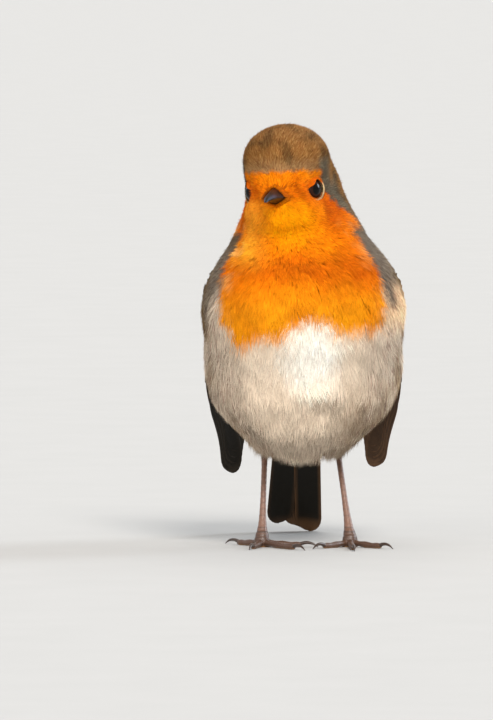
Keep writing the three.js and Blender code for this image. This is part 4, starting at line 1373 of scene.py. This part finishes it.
# ---------------------------------------------------------------- legs, toes and claws
# Bare brown legs: a thin shank with plates down its front, a swollen foot, and four toes with pads
# below and half rings above. Each ends in a dark curved claw.
BALL_RADIUS = 2.05  # where the toes meet
BALL_HEIGHT = 2.8
BALL_SUNK = 0.4
GAP = 0.3
TOE_HEIGHTS = (1.15, 0.95, 0.7, 0.7)
CLAW_HEIGHTS = (0.85, 1.25, 1.0, 0.12)
TOE_RADIUS = (0.82, 0.84, 0.70, 0.86, 0.68, 0.80, 0.62)
CLAW_RADIUS = (0.5, 0.42, 0.30, 0.08)
TARSUS_RADIUS = (1.5, 1.2, 0.88, 0.76, 0.74, 0.80, 1.1, 1.95, BALL_RADIUS, BALL_RADIUS)
TOES = {"hallux": (8, 5.5), "inner": (8, 4.2), "middle": (13, 5), "outer": (9, 4.2)}
LEGS = {
    "left": ((11.9, 4, 0), (9.0, 13, 24.5), {"hallux": 184, "inner": -40, "middle": 3, "outer": 44}),
    "right": ((-10.6, 4, 0), (-9.9, 13, 24), {"hallux": 216, "inner": 76, "middle": 32, "outer": -12}),
}
KNEE_RISE = np.array([0, -3.0, 6.0])  # how far the shank's path goes on into the thigh
VOXEL = 0.13
SHANK_PINK = paint(132, 96, 78)
SHANK_DARK = paint(88, 62, 50)
TOE_BROWN = paint(84, 58, 42)
SOLE_AMBER = paint(150, 104, 54)


def tube(path, radius, steps, sides, ripple=0.0, pitch=0.7):
    """Rings of a radius along a path, rippled by plates of a pitch in mm, no lower than the floor."""
    share = np.linspace(0, 1, steps)
    middle = path(share)
    along = unit(np.gradient(middle, axis=0))
    run = unit(middle[-1] - middle[0])
    steady = np.array([0, 1.0, 0]) if abs(run[2]) > 0.7 else np.array([0, 0, 1.0])
    across = unit(np.cross(along, steady))
    up = np.cross(across, along)
    around = np.arange(sides) * 2 * math.pi / sides
    travelled = np.cumsum(np.linalg.norm(np.diff(middle, axis=0, prepend=middle[:1]), axis=-1))
    plate = 1 - ripple * (travelled / pitch % 1) ** 2
    size = (smooth_profile(radius)(share) * plate)[:, None, None]
    ring = across[:, None] * np.cos(around)[:, None] + up[:, None] * np.sin(around)[:, None]
    rings = middle[:, None] + ring * size
    rings[..., 2] = np.maximum(rings[..., 2], 0)
    return rings


leg_finish = Finish("leg_scales", {"Roughness": 0.42, "Specular IOR Level": 0.5})
leg_tone = leg_finish.node("ShaderNodeAttribute", {"attribute_name": "plumage"}, {}, "Color")
leg_grain = leg_finish.noise(1800, 4)
# Lines between the small scales are sunk as relief and painted darker as the shade in those creases.
leg_cells = leg_finish.node("ShaderNodeTexVoronoi", {"feature": "DISTANCE_TO_EDGE"},
                            {"Vector": leg_finish.place(), "Scale": 1900})
leg_crease_shade = leg_cells.between(0.0, 0.12) * 0.3 + 0.7
leg_shade = leg_finish.mixed(leg_grain * 0.55, leg_tone, SHANK_DARK * 0.6)
leg_finish.feed("Base Color", leg_finish.mixed(leg_crease_shade, SHANK_DARK * 0.45, leg_shade))
leg_finish.bump(leg_crease_shade, 0.04)
claw_finish = Finish("claw_horn", {"Roughness": 0.3, "Specular IOR Level": 0.5})
claw_grain = claw_finish.noise(2500)
claw_finish.feed("Base Color", claw_finish.mixed(claw_grain, paint(34, 25, 21), paint(74, 54, 42)))
claw_finish.bump(claw_grain, 0.02)

for name, (foot, ankle, turns) in LEGS.items():
    foot, ankle = np.array(foot, float), np.array(ankle, float)
    over_foot = foot + [0, 0, BALL_HEIGHT]
    heel = ankle - [0, 0, GAP]
    shank = catmull([heel + KNEE_RISE, heel, mix(heel, over_foot, 0.5), over_foot, foot - [0, 0, BALL_SUNK]])
    tubes = [shell(tube(shank, TARSUS_RADIUS, 150, 20, 0.07, 1.6))]
    claws = []
    for toe, (length, claw_length) in TOES.items():
        turn = math.radians(turns[toe])
        ahead = np.array([math.sin(turn), -math.cos(turn), 0])
        start = 0.4 * BALL_RADIUS
        end = BALL_RADIUS + GAP + length
        reach = np.array([start] + [mix(BALL_RADIUS + GAP, end, share) for share in (0.15, 0.65, 1)])
        knuckles = foot + ahead * reach[:, None] + np.array([0, 0, 1]) * np.array(TOE_HEIGHTS)[:, None]
        tubes.append(shell(tube(catmull(knuckles), TOE_RADIUS, 90, 18, 0.10, 0.62)))
        reach = end - 0.4 + (claw_length + 0.7) * np.array([0, 0.35, 0.7, 1])
        hook = foot + ahead * reach[:, None] + np.array([0, 0, 1]) * np.array(CLAW_HEIGHTS)[:, None]
        claws.append(shell(tube(catmull(hook), CLAW_RADIUS, 24, 14)))

    rough = make_piece(f"leg_{name}_rough", *joined(tubes), leg_finish)
    remesh = rough.modifiers.new("skin over", "REMESH")
    remesh.mode = "VOXEL"
    remesh.voxel_size = VOXEL * MM
    remesh.use_smooth_shade = True
    whole = bpy.data.meshes.new_from_object(rough.evaluated_get(bpy.context.evaluated_depsgraph_get()))
    bpy.data.objects.remove(rough)
    place = np.empty(len(whole.vertices) * 3)
    whole.vertices.foreach_get("co", place)
    place = place.reshape(-1, 3)
    place[:, 2] = np.maximum(place[:, 2], metres([0, 0, 0])[2])
    whole.vertices.foreach_set("co", place.ravel())
    height = place[:, 2] / MM - SHIFT[2]
    tone = mix(TOE_BROWN, SHANK_PINK, fade(height, 2.5, 6))
    pitch = mix(0.62, 1.6, fade(height, 3.5, 7))
    # Rings painted darker as shade in the creases between the plates.
    crease_shade = fade(np.abs((height / pitch) % 1 - 0.5), 0.3, 0.5) * mix(0.75, 0.25, fade(height, 4, 7))
    tone = tone * (1 - crease_shade * fade(height, 1.2, 2))[:, None]
    tone = mix(SOLE_AMBER, tone, fade(height, 0.1, 0.5))
    layer = whole.color_attributes.new("plumage", "FLOAT_COLOR", "POINT")
    layer.data.foreach_set("color", np.concatenate([tone, np.ones((len(tone), 1))], -1).ravel())
    leg = bpy.data.objects.new(f"leg_{name}", whole)
    whole.name = f"leg_{name}"
    bpy.context.scene.collection.objects.link(leg)
    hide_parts(f"tarsus_{name}", *[f"toe_{name}_{toe}" for toe in TOES])
    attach(leg, "root")
    nails = make_piece(f"claws_{name}", *joined(claws), claw_finish)
    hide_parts(*[f"claw_{name}_{toe}" for toe in TOES])
    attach(nails, "root")
